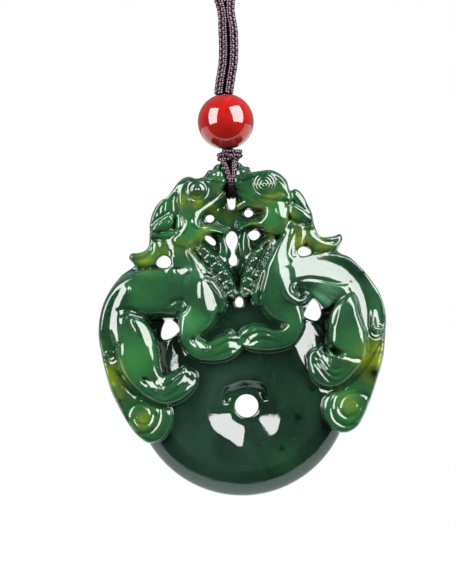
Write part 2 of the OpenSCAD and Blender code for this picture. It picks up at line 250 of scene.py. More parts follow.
# They are measured in shares: a share is a hundredth of the jade's half width. A row begins with how far
# out from the upright line and how far up from the middle of the disc's hole a place is. Heights are
# hundredths of the jade's thickness. A row for the left side is laid out as if it were on the right.
JADE_WIDTH, JADE_THICKNESS, DROP = 0.0514, 0.0105, 0.096
SHARE = JADE_WIDTH / 200
RISE = JADE_THICKNESS / 100 / SHARE
# The grid's step and its reach to the right, up and forward, in shares
CELL = 0.7
GRID_U, GRID_V, GRID_H = (-106, 108), (-68, 178), (-3, 45)
LEFT, RIGHT = -1, 1

# Broad low masses that join the limbs. columns: out, up, half width, half height
MASS_MIDDLE = 30
MASSES = {
    LEFT: [
        [(8, 150, 9, 34), (22, 147, 14, 40), (36, 142, 17, 40), (48, 134, 11, 38)],
        [(50, 122, 8, 38), (36, 122, 9, 40), (22, 123, 5, 36), (6, 122, 4, 30)],
        [(46, 120, 9, 34), (39, 106, 13, 50), (38, 93, 18, 58), (44, 82, 18, 58), (66, 82, 18, 52),
         (80, 70, 16, 48), (84, 55, 14, 46), (82, 40, 14, 44), (80, 24, 14, 40), (70, 12, 12, 38)],
        [(14, 126, 4, 24), (9, 118, 5, 24), (8, 108, 6, 24), (12, 98, 9, 22), (5, 84, 6, 20)],
    ],
    RIGHT: [
        [(8, 151, 8, 34), (24, 148, 13, 40), (36, 142, 14, 40), (46, 136, 9, 38)],
        [(48, 126, 8, 38), (34, 127, 10, 42), (20, 128, 5, 36), (6, 126, 5, 30)],
        [(44, 122, 9, 34), (38, 108, 12, 40), (34, 94, 16, 44), (44, 89, 15, 46), (66, 86, 18, 48),
         (82, 74, 16, 48), (87, 58, 14, 46), (85, 42, 14, 44), (82, 26, 13, 40), (72, 12, 12, 38)],
        [(14, 128, 4, 24), (9, 120, 5, 24), (8, 110, 6, 24), (12, 100, 9, 22), (5, 86, 6, 20)],
    ],
}
# Limbs. columns: out, up, half width, middle height, half height
LIMBS = {
    LEFT: {
        "torso": [(24, 84, 10, 46, 41), (40, 85, 15, 46, 43), (56, 83.5, 17.5, 46, 42),
            (69, 83, 17, 46, 41), (80, 79, 13, 46, 40), (88, 69, 10.5, 46, 38), (91, 57, 9, 46, 35),
            (91.5, 47, 7, 46, 30)],
        "neck": [(45, 121, 8, 48, 30), (41, 111, 10, 48, 36), (35, 100, 11.5, 48, 40),
            (31, 89, 13.5, 48, 42), (27.5, 78, 15.5, 48, 44), (29.5, 67, 14, 48, 43),
            (35.5, 57, 8.5, 49, 41), (36.5, 49, 6.5, 50, 39), (31, 42, 7.5, 50, 38),
            (23, 39.5, 7.5, 50, 38), (14, 41.5, 9.5, 51, 36), (7.5, 44, 8.5, 50, 33),
            (4, 44.5, 5.5, 50, 27)],
        "haunch": [(84.5, 72.5, 2, 52, 24), (79, 65, 7.5, 50, 37), (74, 54, 13, 50, 44),
            (73, 42, 15, 50, 46), (71, 30, 13.5, 50, 44), (65, 20, 11.5, 50, 40),
            (57, 15.5, 11.5, 50, 37), (49, 17, 11.5, 50, 35), (42.5, 20.5, 10, 50, 30),
            (38.5, 23, 7, 50, 24)],
        "tail": [(96, 44, 3, 42, 24), (91, 30, 6.5, 42, 28), (85, 17, 9.5, 42, 29), (77, 6, 13, 42, 29)],
        "skull": [(52, 128, 7, 46, 25), (47, 138, 9, 46, 31), (38, 146, 11.5, 46, 35),
            (28, 150.5, 12, 48, 37), (18, 152.5, 9.5, 48, 33), (9, 155, 7, 48, 27)],
        "cheek": [(33, 135, 7, 48, 33), (32.5, 128, 8.5, 48, 38), (32, 121, 8.5, 48, 38)],
        "snout": [(29, 137, 5, 48, 35), (21, 143, 6.5, 48, 37), (12.5, 148.5, 6, 48, 34),
            (5, 153.5, 4.5, 48, 26)],
        "jaw": [(38, 119, 6.5, 48, 32), (30, 118, 6.5, 48, 34), (22.5, 122, 5, 48, 30),
            (14, 124.5, 3.4, 48, 26), (6, 122, 3, 48, 21)],
        "mane_lock": [(51, 123, 5, 46, 24), (54, 115.5, 6.5, 46, 27), (59, 109, 7.5, 46, 29),
            (65.5, 107, 6, 46, 28), (71, 108.5, 3.6, 46, 23), (73, 110.5, 1.8, 46, 16)],
    },
    RIGHT: {
        "torso": [(24, 90, 9, 46, 38), (36, 92, 10, 46, 42), (48, 93, 10.5, 46, 39),
            (61, 92.5, 11.5, 46, 30), (73, 89, 12, 46, 26), (82, 82, 11.5, 46, 28),
            (88.5, 72, 11, 46, 34), (92, 60, 9.5, 46, 36), (93.5, 50, 7, 46, 31)],
        "neck": [(44, 124, 6, 48, 30), (40, 113, 9, 48, 37), (34, 102, 11, 48, 46), (29, 91, 13, 48, 49),
            (27, 80, 15, 48, 46), (29.5, 70, 14, 48, 43), (36, 61, 8.5, 49, 41), (37, 53, 7, 50, 39),
            (31, 46, 8, 50, 39), (22, 44.5, 8.5, 50, 38), (13, 46.5, 10, 51, 36), (6.5, 47.5, 9, 50, 33),
            (3.5, 47, 6, 50, 27)],
        "haunch": [(81.5, 75, 2, 52, 24), (77, 67, 7, 50, 38), (73.5, 57, 11.5, 50, 44),
            (73.5, 46, 14, 50, 46), (72.5, 35, 15, 50, 45), (68.5, 26, 13, 50, 41), (62, 20, 12, 50, 38),
            (56.5, 20.5, 11.8, 50, 36), (53.5, 25, 9.8, 50, 33), (51.5, 30, 7.8, 50, 27)],
        "tail": [(97.5, 47, 3, 42, 24), (92, 31, 7, 42, 28), (85.5, 18, 10, 42, 29),
            (77.5, 6, 13.5, 42, 29)],
        "skull": [(50, 131, 6, 46, 26), (47, 140, 7, 46, 28), (40, 143, 7, 46, 30)],
        "brow_dome": [(33, 150, 9.5, 48, 34), (27, 152.5, 11.5, 48, 38), (19, 153.5, 9.5, 48, 34),
            (9, 156, 7, 48, 27)],
        "cheek": [(29, 134, 8, 48, 34), (29, 128.5, 8, 48, 36)],
        "snout": [(32, 138, 4.5, 48, 33), (23, 142, 6.5, 48, 36), (13.5, 147, 6.5, 48, 33),
            (5, 152, 5, 48, 26)],
        "lip": [(25, 136.5, 2.2, 60, 18), (18, 139, 3.2, 60, 18), (11, 141, 3.2, 58, 16),
            (5, 139, 3, 56, 12)],
        "jaw": [(40, 124, 5, 48, 30), (33, 121.5, 5.5, 48, 34), (27, 122, 5, 48, 34),
            (20, 125.5, 4, 48, 30), (12, 126, 3.4, 48, 26), (5, 124, 3, 48, 21)],
        "mane_lock": [(49, 124, 6, 46, 24), (52, 117, 7, 46, 27), (57, 110, 7.5, 46, 29),
            (65, 108.5, 6, 46, 28), (71.5, 111, 3.6, 46, 23), (74, 114, 1.8, 46, 16)],
    },
}
# Forms that are much the same on both sides, with how much further up they are on the right
BOTH = {
    "ear": [(56, 127, 1.4, 58, 16, -1), (51, 129.8, 3.8, 58, 24, -1.5), (46, 132.5, 4, 58, 24, -2),
        (42.5, 135.5, 1.8, 58, 18, -4)],
    "ear_lock": [(58.5, 123.5, 1.6, 50, 18, 0), (50, 123.8, 3, 52, 22, 0.5), (41.5, 123, 3, 52, 22, 1)],
    "strut": [(14, 127, 3, 54, 10, 0), (9, 119, 3.6, 54, 10, 0), (8, 110, 4, 54, 10, 0),
        (10, 102, 5, 54, 10, 0)],
    "scale_band": [(25.6, 112, 5, 44, 28, 1), (19, 104.4, 6.6, 44, 32, 1.5), (13.2, 96, 7, 44, 33, 1),
        (8.4, 87, 6.8, 44, 32, 0), (4.4, 79, 5.2, 44, 28, 0)],
    "chest_lock": [(25, 91.8, 0.8, 60, 16, 4), (20.5, 90, 3.2, 60, 27, 4), (15.5, 84, 4.4, 60, 30, 4),
        (12.5, 76, 4.6, 58, 30, 3), (13.5, 68.5, 3.6, 56, 26, 3)],
}
CREST = [(0, 168, 4, 44, 16), (0, 162, 8, 44, 21), (0, 155, 8, 44, 20), (0, 147, 6, 44, 16)]
CREST_BEADS = [(18, 161.5, 2.2), (14.5, 164.5, 2.3), (10.5, 166.6, 2.5), (6.5, 168.3, 2.4)]

# More forms of each side, in the order in which they are made. A region, facet or pit has its outline or
# path and a boss has its places and radii. Then come the numbers that Relief's function of that name takes.
BODIES = {
    LEFT: [
        # the tail's roll
        ("region", [(93.4, 25.4), (84.8, 23), (70.1, 9.7), (53.1, 4.1), (52.6, -8), (59, -18.6),
         (67, -22), (75.5, -17.6), (86, -3.1)], 74, 5, 12),
        # the toes' tips
        ("boss", [(41, 29.5, 2.2), (39, 25, 2.7), (39, 19, 2.8), (42.5, 13.5, 2.6), (4.6, 47.8, 2.4),
         (3.6, 42.6, 2.6), (6.5, 38, 2.6), (8, 52, 2.4)], 66, 10, 4),
    ],
    RIGHT: [
        # haunch against the flank
        ("boss", [(43, 75, 9)], 62, 14, 2),
        ("region", [(37.9, 80.6), (40.6, 83.3), (46, 83.8), (52, 83.9), (64, 81), (71.2, 79.5),
         (77, 80.2), (80, 78.6), (78.6, 75.6), (73.7, 71.5), (67, 67.5), (59.6, 63.4), (54.4, 68.5),
         (50, 73), (46.6, 77), (42.8, 77.8), (40.1, 76), (38.2, 77.4)], 72, 3, 9, (-0.45, 0)),
        ("pit", [(57, 50), (60, 44), (64, 38.5), (71, 33), (69, 31), (63, 30.5), (58.5, 36), (52, 40)],
         52, 4),
        # the tail's roll
        ("region", [(96, 30), (88, 22), (76, 9), (60, 6), (52.6, 0), (52.6, -11), (58.4, -21.6),
         (67, -24.4), (78, -18.6), (86.5, -3), (93, 12)], 74, 5, 12),
        # the toes' tips
        ("boss", [(51.5, 34, 2.6), (48.8, 29, 2.8), (48.6, 22.8, 2.6), (55, 37, 2.2), (4.6, 50.6, 2.4),
         (3.4, 45.6, 2.6), (5.8, 41, 2.7), (10, 55, 2.2)], 66, 10, 4),
    ],
}
HEADS = {
    LEFT: [
        # the mane's lock, then the hair behind the cheek, the ear and the lock under it
        ("region", [(38, 122.5), (44, 121), (52, 121.5), (58.6, 122), (59.6, 117), (63, 113.8),
         (68, 112.8), (72.5, 112.8), (74.6, 109), (72.8, 105.6), (70, 103.2), (65, 102), (60, 101.6),
         (56.4, 104), (55.8, 108), (50, 110.6), (45.6, 109.6), (42, 113), (39, 117)], 74, 4.5, 12,
         (-0.3, 0)),
        ("region", [(36, 136), (39, 146), (41, 153.5), (49, 147), (54, 141.5), (57.5, 135), (58.5, 128),
         (50, 128)], 76, 8, 9),
        ("region", [(57.5, 125.6), (54.6, 131), (49.6, 134.4), (43.6, 137.5), (41, 133.5), (42, 129),
         (47, 126.4), (52, 125.4)], 84, 2.4, 8),
        ("region", [(59, 124.6), (53, 124.2), (46.5, 124.2), (40, 125), (38.4, 122.6), (44, 120.6),
         (52, 120.8), (58.5, 121.6)], 80, 2.6, 7),
        # the face, from the nose over the brow and down the cheek to the chin and the lower lip
        ("region", [(2.6, 158.6), (9.2, 161), (17, 160.6), (23, 162.2), (29, 161.3), (35.4, 156.2),
         (37.4, 148), (36.8, 141), (35, 134), (34.8, 129), (38, 124.8), (43, 120.6), (43.2, 115.6),
         (38, 111.3), (31, 110.2), (25, 112.8), (21.4, 117.6), (14.4, 121.4), (7, 120.6), (6.2, 122.8),
         (13, 126.4), (20, 127.6), (25.4, 126.6), (27.6, 129.7), (25.4, 134.6), (20.6, 138.4),
         (13.4, 143.4), (5.3, 150.1)], 87, 3.4, 12),
        # the upper lip's bevel, from the nose down round the mouth
        ("facet", [(3.4, 152.4, 1.6), (9.7, 146.4, 2), (16.9, 141.6, 2.4), (22.6, 136.8, 3),
         (25.6, 131.4, 3), (25, 127.6, 1.8)], (30, 14), 0.6, 0, 80),
        ("facet", [(23, 126.6, 1.3), (17.4, 126.4, 1.4), (12, 124.8, 1.2), (6.5, 121.9, 1)], (24, 14),
         0.8, 0, 80),
        ("boss", [(23.1, 152.4, 6.2)], 84, 6, 2),
        ("boss", [(23.1, 152.4, 1.6)], 88, 4.5, 0.6),
        ("boss", [(27.4, 145.7, 1.5)], 84, 6, 0.8),
        # nose
        ("boss", [(8.5, 160.3, 5.6)], 66, 14, 3),
    ],
    RIGHT: [
        # the mane's lock, then the hair behind the cheek, the ear and the lock under it
        ("region", [(36, 124.5), (42, 124), (50, 122), (56.4, 121.4), (57.4, 116.6), (62, 113.8),
         (69.5, 114.4), (74, 115.6), (75.6, 111), (72.6, 105.8), (66, 102.6), (60, 102.6), (53.6, 105),
         (50, 109.4), (45, 108.6), (41, 112), (38.4, 117)], 74, 4.5, 12, (-0.3, 0)),
        ("region", [(41, 139), (41.8, 146), (44.6, 148), (48, 145), (51, 139.5), (54, 133), (55.6, 128),
         (47, 129), (42, 133)], 78, 3, 8),
        ("region", [(55.8, 125.6), (53.6, 130), (48, 134.8), (42.6, 138), (38.6, 136), (39, 129.8),
         (44, 125.6), (50, 124.4)], 83, 2.4, 8),
        ("region", [(55.5, 123.8), (49.5, 123.2), (43, 124.4), (37.6, 126), (36.4, 122.6), (43, 119.8),
         (50, 119), (55.5, 120)], 78, 3, 8),
        # the face, from the nose over the brow and down the cheek to the jaw
        ("region", [(2, 158.5), (8, 161.4), (14, 162.4), (21, 163.6), (29.6, 162), (37.2, 156.6),
         (40.9, 149.1), (42, 142), (40.4, 137), (38.8, 130.7), (38.4, 127), (34.4, 121.2), (28.5, 118.4),
         (22.2, 119.2), (18.4, 123.2), (12, 124.6), (4.6, 121.8), (4.2, 124.4), (12, 127.6), (17, 127.8),
         (20.6, 130.6), (22, 134.6), (20.6, 138.2), (14.6, 143.2), (8.4, 148.4), (3.6, 151.4)], 87, 3.4,
         12),
        ("region", [(20.6, 139.6), (15, 140.6), (9, 142), (4.6, 141), (5.4, 138.4), (12, 138.4),
         (18, 137.4)], 72, 2, 6),
        # eye: a low dome
        ("boss", [(23.4, 153.2, 9)], 82, 7, 3),
        # nose and forehead
        ("boss", [(8, 161, 5.4)], 66, 14, 3),
    ],
}
# Grooves: half width, depth and path
GROOVES = {
    LEFT: [
        # where the neck, the chest and the scale band meet
        (0.9, 9, [(28.5, 110.5), (24.5, 104), (19, 97.5), (13, 91.5), (11.3, 88)]),
        (0.8, 8, [(24.5, 92), (19.5, 92.3), (14, 88.5), (10.6, 81), (9.5, 73)]),
        (0.6, 3.5, [(25, 90.5), (21, 86.5), (17.3, 79), (16.3, 70)]),
        # haunch against the flank
        (0.9, 8, [(85.5, 73), (76.8, 73.4), (71, 71.4), (65, 67.6), (58.7, 59.4)]),
        (0.9, 9, [(50.5, 73.4), (43.4, 77.5), (38.2, 77.1), (35.6, 72.5), (38.8, 68.4), (43.2, 68.4),
         (44.4, 71.4), (41.2, 72.4)]),
        # haunch against the tail
        (1, 10, [(91.5, 34), (85, 28.5), (78.5, 20), (71, 12), (63, 6.5), (56, 3.6), (51, 4)]),
        # the tail's roll
        (0.8, 5, [(78.8, 10.4), (69.9, 12.9), (62, 6.5), (60.9, -2.2), (64.6, -9.8), (71.9, -13.6),
         (80.3, -9.5), (82.6, -0.7), (79.1, 6.1), (72.1, 7.3), (66.8, 2.5), (66.8, -3.6), (70.5, -7.6),
         (75.7, -6.4), (77.6, -1.9), (75.1, 1.4), (70.7, 1.4)]),
        # toes
        (0.65, 5, [(58, 22), (53, 24.2), (48, 27.8), (43.5, 30.5)]),
        (0.65, 5, [(57.5, 17.8), (52, 19.6), (46.5, 23), (41, 26.8)]),
        (0.65, 5, [(58.5, 10.2), (52, 12.6), (46, 16.4), (41, 20)]),
        (0.65, 5, [(21.5, 46.2), (16, 49), (10.5, 51), (5, 50)]),
        (0.65, 5, [(21, 40.8), (14.5, 44.2), (8.5, 46), (3.4, 45)]),
        (0.65, 5, [(20, 36.2), (13.5, 38), (8, 39.6), (3.4, 40.4)]),
        # brow round the eye
        (0.7, 3.2, [(31.6, 138.4), (33.1, 143.5), (33.1, 148.5), (31.6, 154.4), (29, 158.6),
         (24.8, 160.1), (20.3, 159), (17.1, 154.5), (17.1, 149.8), (19.5, 145.4), (23.9, 142.2)]),
        (0.6, 3, [(30.2, 140.6), (31, 147.4), (29.7, 153.1), (26.5, 157)]),
        (0.6, 3, [(37.2, 138.6), (38.6, 144.5), (37.2, 150.1)]),
        # cheek's edge against the mane
        (0.6, 5, [(38.1, 138.4), (35.2, 133.7), (34.7, 129), (37.2, 125.1), (41.4, 121.9)]),
        # the chin's thin rim
        (0.55, 3, [(41.6, 117.6), (39.2, 114.3), (33.5, 112.7), (27.6, 114.8), (24, 118.4),
         (18.5, 121.6)]),
        # mane strands
        (0.6, 5, [(54.4, 133), (51.9, 139.6), (46.8, 146.2)]),
        (0.6, 5, [(50.9, 136.4), (49, 142.9), (45.2, 147.6)]),
        (0.6, 5, [(47.7, 138), (46.1, 144.4), (43.4, 149)]),
        (0.6, 5, [(44.3, 139), (43.3, 145.4), (41.3, 150.4)]),
        (0.6, 5, [(41.4, 138.4), (41.2, 144.6), (39.3, 151.6)]),
        (0.7, 6, [(57.5, 127), (54.9, 132.2), (49.5, 135.8), (43, 138.6)]),
        (0.55, 3.4, [(54.8, 127.6), (51.4, 131.2), (45.6, 133.9), (43.1, 131.6), (45.6, 128.5),
         (51.6, 127.2)]),
        (0.6, 5, [(58, 125), (51, 124.8), (44, 125.2), (40.6, 124)]),
        (0.7, 6, [(58, 121.2), (51, 119.8), (44, 119.6)]),
        # mane lock
        (1, 5, [(56.6, 120), (57.4, 113), (61.8, 108.6), (67, 106.8), (71, 107.6)]),
        (0.55, 2.6, [(47.6, 113.4), (43.7, 108.2), (40.4, 104)]),
        (0.7, 4, [(17.4, 161.6), (15.1, 158.4), (10.6, 156.2), (4.9, 155.2)]),
        (0.6, 4, [(7, 164), (7.4, 160), (5, 158.4)]),
    ],
    RIGHT: [
        # where the neck, the chest and the scale band meet
        (0.9, 9, [(24, 114), (18.5, 104), (13.5, 96), (11, 90)]),
        (0.8, 8, [(21, 97), (16, 94), (12, 87), (10, 79), (11, 72)]),
        (0.8, 8, [(20, 95.5), (18.4, 89), (15.5, 81), (15.5, 73)]),
        (0.9, 6, [(78.4, 75.2), (73.7, 71), (67, 66.6), (61.6, 61.6), (59, 56.5)]),
        (0.8, 8, [(77.6, 81), (71.4, 80.4), (64, 82.2), (52, 85.2), (45, 85.2), (39.6, 84), (36.8, 80.6),
         (37, 77), (39.4, 75), (42.4, 76.4)]),
        # haunch against the tail
        (1, 10, [(95.5, 37), (88.5, 28), (80, 18), (71.5, 11), (62.5, 7), (56, 6.5)]),
        # the tail's roll
        (0.8, 5, [(80.2, 5.3), (70.7, 6.7), (62.7, 4.3), (59.2, -3.2), (60.2, -12.9), (68, -18.2),
         (77.8, -15.9), (84.4, -8.6), (84.5, 0.1), (78.3, 3.7), (69.6, 3), (64.9, -1.9), (64.4, -8),
         (69.3, -12.3), (75.6, -10), (77.7, -5.5), (74.5, -0.9), (70.4, -2)]),
        # toes
        (0.65, 5, [(68, 22.5), (62, 21.5), (58, 25), (54, 32), (51.5, 36)]),
        (0.65, 5, [(67, 18), (61.5, 17), (57, 21), (53.5, 27.5), (49.5, 32)]),
        (0.65, 5, [(64, 12.8), (59, 13.6), (54.8, 18.5), (51.5, 24), (48, 28)]),
        (0.65, 5, [(22.5, 52), (17, 54.4), (11, 55), (6.5, 52.5)]),
        (0.65, 5, [(23, 47.6), (16, 50.6), (9.5, 50.6), (4.5, 48.2)]),
        (0.65, 5, [(24, 43.4), (16.5, 45.8), (10, 45.4), (4, 43.2)]),
        # the brow's outer edge and the leaf under the eye
        (0.6, 3, [(30.2, 158.4), (34.6, 154.7), (38.6, 148.6), (41.2, 142.5)]),
        (0.6, 4, [(16, 149), (19.6, 146.8), (24, 145.7), (29.2, 145.4), (34, 147.2), (37.9, 144.6),
         (41, 141.4)]),
        (0.6, 4.5, [(12.4, 147.4), (16, 144.8), (21, 142.9), (28.9, 141.2), (35.2, 139.6),
         (41.1, 140.3)]),
        (0.6, 3, [(6.4, 151.8), (10.4, 148.6), (14.8, 143.7), (20.8, 139.4), (24.6, 137.2)]),
        # cheek against the mane
        (0.6, 3.4, [(40.6, 138), (38.9, 133), (38.7, 128.4), (40, 125)]),
        # the jaw's thin rim
        (0.55, 3, [(14.5, 126.4), (18.6, 125.2), (22.4, 121.4), (28.5, 120.2), (33.4, 122.6),
         (36.8, 127.4)]),
        (0.6, 4, [(19.6, 118), (24.2, 115.8), (30, 115.6)]),
        # mane lobe and ear
        (0.6, 4, [(43.2, 146.6), (46.5, 143.4), (50.7, 136.7), (53.8, 131.4)]),
        (0.55, 4, [(43.4, 143.4), (45.8, 139.6), (49.4, 135)]),
        (0.6, 6, [(41.6, 141.5), (43.7, 138.3), (49.2, 134), (54.6, 129)]),
        (0.55, 3.4, [(45, 130), (49.7, 131), (54.4, 127), (49.9, 126.2), (45, 128)]),
        (0.6, 5, [(55.5, 124.9), (49.5, 123.6), (43.6, 125), (39.4, 127.6)]),
        (0.9, 5, [(54.8, 119.4), (56.9, 114.8), (61.7, 110.9), (67.8, 109.7), (72, 111.4)]),
    ],
}
# Sets of strands: half width, depth, how many, and the first and last path
STRANDS = {
    LEFT: [
        (0.6, 4, 3, [(13, 143), (10.5, 140.5), (8.5, 137)], [(9, 145), (7, 141.6), (6, 137.4)]),
    ],
    RIGHT: [
        (0.5, 5, 3, [(20.5, 134), (17.5, 130.5), (14.5, 129)], [(16, 135), (14, 131.4), (12, 130)]),
        (0.6, 5, 2, [(15, 157.6), (10, 156), (5.5, 156.6)], [(13, 161.5), (8.5, 159.4), (6, 158.6)]),
    ],
}
# Faces that the carver left leaning, as rows of out, up, half width, and then what Relief.facet takes
SHINE = {
    LEFT: [
        ([(49.5, 119, 3.6), (48, 113, 4), (47.6, 107.6, 3)], (-6, 0), 1, 0, 77),
        ([(31.8, 109.7, 1.6), (28.2, 103.5, 2.8), (24, 97, 3.8), (18.5, 92.4, 3)], (24, 8)),
        ([(23, 86, 3.6), (20.7, 78.5, 6), (20.3, 70.5, 5)], (24, 4)),
        ([(77.5, 86.9, 2.6), (84.2, 78.7, 4), (87.2, 66.7, 4.4), (86, 52, 2.6)], (-27, 8)),
        ([(72.2, 64.8, 2), (67.4, 59.2, 4.2), (64.5, 50.3, 3)], (26, 8)),
        ([(41.5, 98.2, 1.6), (37.7, 96.6, 2.6), (33.2, 97.3, 1.6)], (-26, 12)),
        ([(33, 49, 2), (29, 45.5, 3), (25, 42.6, 2)], (-26, 8)),
        ([(69, 24, 2), (64.5, 20.5, 3), (60, 17, 2)], (-26, 8)),
    ],
    RIGHT: [
        ([(45, 119.4, 3.6), (43.4, 112, 4.4), (41.4, 104, 4)], (9, 0), 1, 0, 80),
        ([(89, 83, 5), (93.6, 74, 5.5), (95.8, 62, 5), (96.6, 51, 4)], (11, 4), 1, 0, 66),
        ([(38.6, 120, 2), (35.4, 111.6, 3), (33.4, 103, 5), (34.8, 95, 7.4), (38.4, 91.8, 9.4),
         (43.7, 91.4, 10.4), (54.3, 92, 9.6), (64.7, 91.4, 8.8), (73.3, 88, 8.4), (80, 81.6, 7),
         (84, 74.6, 6.2), (86.2, 67, 5.8), (87, 59, 5.2), (87, 51, 3)], (18, 11), 1, -3),
        ([(24.5, 112, 0.9), (18.5, 102, 1.4), (13.5, 94, 1.1)], (-24, 10)),
        ([(20, 95, 1), (17, 88, 1.8), (15.5, 80, 1.4)], (-24, 8)),
        ([(34.6, 138.5, 3.8), (34.4, 134.5, 4), (34.2, 131, 3.2)], (25, 8)),
        ([(68, 65.4, 1.4), (65.3, 60.8, 2.4), (63.4, 53.9, 1.8)], (-26, 8)),
        ([(68, 28.6, 1.4), (74, 27.4, 2.2), (80.1, 27.5, 1.6)], (22, 10)),
        # the hook of the torso's band round the flank's curl
        ([(34, 91, 4.4), (33.8, 84, 4.4), (34.6, 78, 3.6), (36.8, 73.8, 2.6), (41, 70.8, 2.2),
         (44.8, 71.2, 2), (46.4, 73.6, 1.8)], (22, 10), 0.8, 0, 97),
    ],
}
SCALE_STEP = 7.4
SCALE_WIDTH = 1.05
# The beasts' outline in two halves, each from under the tail up to the crest. columns: out, up
LEFT_OUTLINE = [(30, -4), (40, -7), (48, -9.5), (54, -13.5), (59.5, -18.5), (69.5, -20.5), (75, -17),
    (80, -11), (84, -4), (87, 2), (90, 9), (93, 17), (95, 25), (96.5, 33), (98, 42), (99, 50), (99, 58),
    (98, 66), (96.5, 72), (94, 79), (90, 86), (85, 92.5), (80, 97.5), (75, 100.5), (71, 103), (71, 104.5),
    (72.5, 106), (74, 109), (72, 112), (68, 112), (63, 113), (60, 116), (59, 121), (58.5, 125), (58, 131),
    (56, 138), (53, 143), (49, 147), (44.5, 149), (40, 154), (36, 159), (32, 162), (28, 162.5),
    (24, 160.5), (20, 161), (17, 163), (14.5, 166), (12, 166), (9.5, 169), (6, 170), (0, 170.5)]
RIGHT_OUTLINE = [(30, -4), (40, -7), (49, -9), (55, -14), (60, -21), (65, -23), (71, -22.5), (77, -18),
    (81.5, -11), (85, -4), (88, 3), (92, 13), (95, 20), (97.5, 28), (99, 36), (100.5, 45), (101.5, 53),
    (101, 60), (99.5, 67), (97, 74), (93.5, 80), (89, 87), (84, 93), (79, 98.5), (74, 101), (71, 103.5),
    (72, 106), (75, 111), (73.5, 115), (70, 114), (65, 113.5), (60, 114), (57.5, 118), (56, 123),
    (55.5, 126), (55, 131), (52.5, 137), (50, 143), (47, 147.5), (44, 148.5), (41.2, 147.2), (40, 151),
    (39, 155), (35, 159.5), (30, 162.5), (26, 163), (20, 162.5), (15, 162.5), (14, 166), (10, 167),
    (7, 170), (0, 170.5)]
# The openings' outlines. columns: to the right, up
HOLES = {
    "left belly": [(-50.5, 64.5), (-45.5, 62), (-42.5, 57), (-45, 54), (-49.5, 51), (-54.5, 50.5),
        (-56, 54), (-54, 60.5)],
    "right belly": [(50.5, 70.5), (47, 65.5), (44.5, 60), (49, 57), (53.5, 56), (56.5, 60), (56, 65),
        (54, 69.5)],
    "left mane": [(-50, 109), (-54.5, 106.5), (-55.5, 103), (-52, 100.5), (-47, 100.5), (-45, 103.5),
        (-46, 107)],
    "right mane": [(48, 108), (52.5, 105.5), (52, 102.5), (46, 101.3), (43, 104), (44.5, 107)],
    "keyhole": [(-1.8, 122.5), (-5.6, 119), (-6, 114.5), (-3.4, 109.5), (-3, 106), (-5, 102.5),
        (-4.2, 99.2), (-1.8, 98.2), (0.6, 99.8), (0.8, 104), (-0.6, 107.5), (0.8, 111.5), (2.4, 116),
        (1.4, 120.5)],
    "left mouth": [(-16, 135), (-19, 133.5), (-18.5, 130.5), (-15.5, 129.5), (-13, 131.5), (-13.5, 134)],
    "right mouth": [(11.5, 137), (14.5, 134.5), (13, 131.8), (9.5, 131.5), (8, 134), (9, 136)],
    "left chin": [(-19.5, 120.8), (-20.3, 118.5), (-17.5, 115), (-14.5, 113.2), (-13, 115.5),
        (-15.5, 119)],
    "right chin": [(14, 122), (17.5, 120.5), (17.5, 117.2), (14, 115), (10.5, 116.5), (10, 120)],
    "middle": [(0, 76), (-2.8, 73.5), (-2, 70), (1.5, 69.2), (3, 72), (2.4, 75)],
    "slot": [(0, 151), (-2.6, 149), (-2.9, 142), (-2.2, 138.5), (-0.5, 137.2), (1.6, 138), (2.6, 142),
        (2.6, 149)],
}
# The disc: its middle, its radius, how far out its face is flat, and its face's and rim's heights
DISC_AT, DISC_RADIUS, DISC_FLAT, DISC_FACE, DISC_RIM = (-2.3, 12.8), 75.5, 57.5, 58.5, 22
HOLE_RADIUS = 8.2
# The back's height, and how softly the solid's faces meet, in shares
BACK = 2
BEAST_EDGE, DISC_EDGE, DISC_BACK_EDGE, WHERE_THEY_MEET, HOLE_EDGE, BORE_EDGE = 2.2, 1.0, 2.0, 0.5, 1.4, 1.2
# The worn dish round the disc's hole, and the leaning places of the disc's face
DISH_SLOPE, DISH_DEPTH = 15.5, 22
DISH = [(-27, -3), (-25.5, -11), (-21.5, -17.5), (-13, -24), (-4.5, -29.6), (7, -26.6), (18, -22),
    (22.5, -13), (23, -4), (21, 4), (13, 17), (-1, 22.5), (-15, 18), (-23.5, 8)]
DISC_FACETS = [
    ([(53, 8, 4), (50, 20, 8), (45, 35, 12), (42, 48, 12)], (22, 8)),
    ([(-43.8, 48.5, 4), (-47, 39, 6.5), (-51, 29, 4)], (16.5, 8)),
    # the dish's steep upper wall
    ([(-14, 6, 2.6), (-10.2, 12, 3.8), (0, 15.8, 4.6), (10.2, 12, 3.4), (13.4, 6, 2.2)], (0, -43), 0.4),
]


def smooth_path(rows, steps=6):
    """Points on the smooth curve through rows, steps of them from one row to the next."""
    p = np.array(rows, float)
    p = np.vstack([p[0], p, p[-1]])
    t = (np.arange(steps) / steps)[:, None]
    parts = [0.5 * (2 * b + (c - a) * t + (2 * a - 5 * b + 4 * c - d) * t ** 2
                    + (3 * b - a - 3 * c + d) * t ** 3)
             for a, b, c, d in zip(p, p[1:], p[2:], p[3:])]
    return np.vstack(parts + [p[-1:]])


def run_of(path):
    """How far along a path each of its points is."""
    return np.concatenate([[0], np.cumsum(np.hypot(*np.diff(path[:, :2], axis=0).T))])


def to_side(rows, side):
    """A table's rows placed on the left or the right, with its last column as what the right has more."""
    return [(r[0] * side, r[1] + (r[-1] if side == RIGHT else 0), *r[2:-1]) for r in rows]


def mirrored(rows, side):
    return [(r[0] * side, *r[1:]) for r in rows]


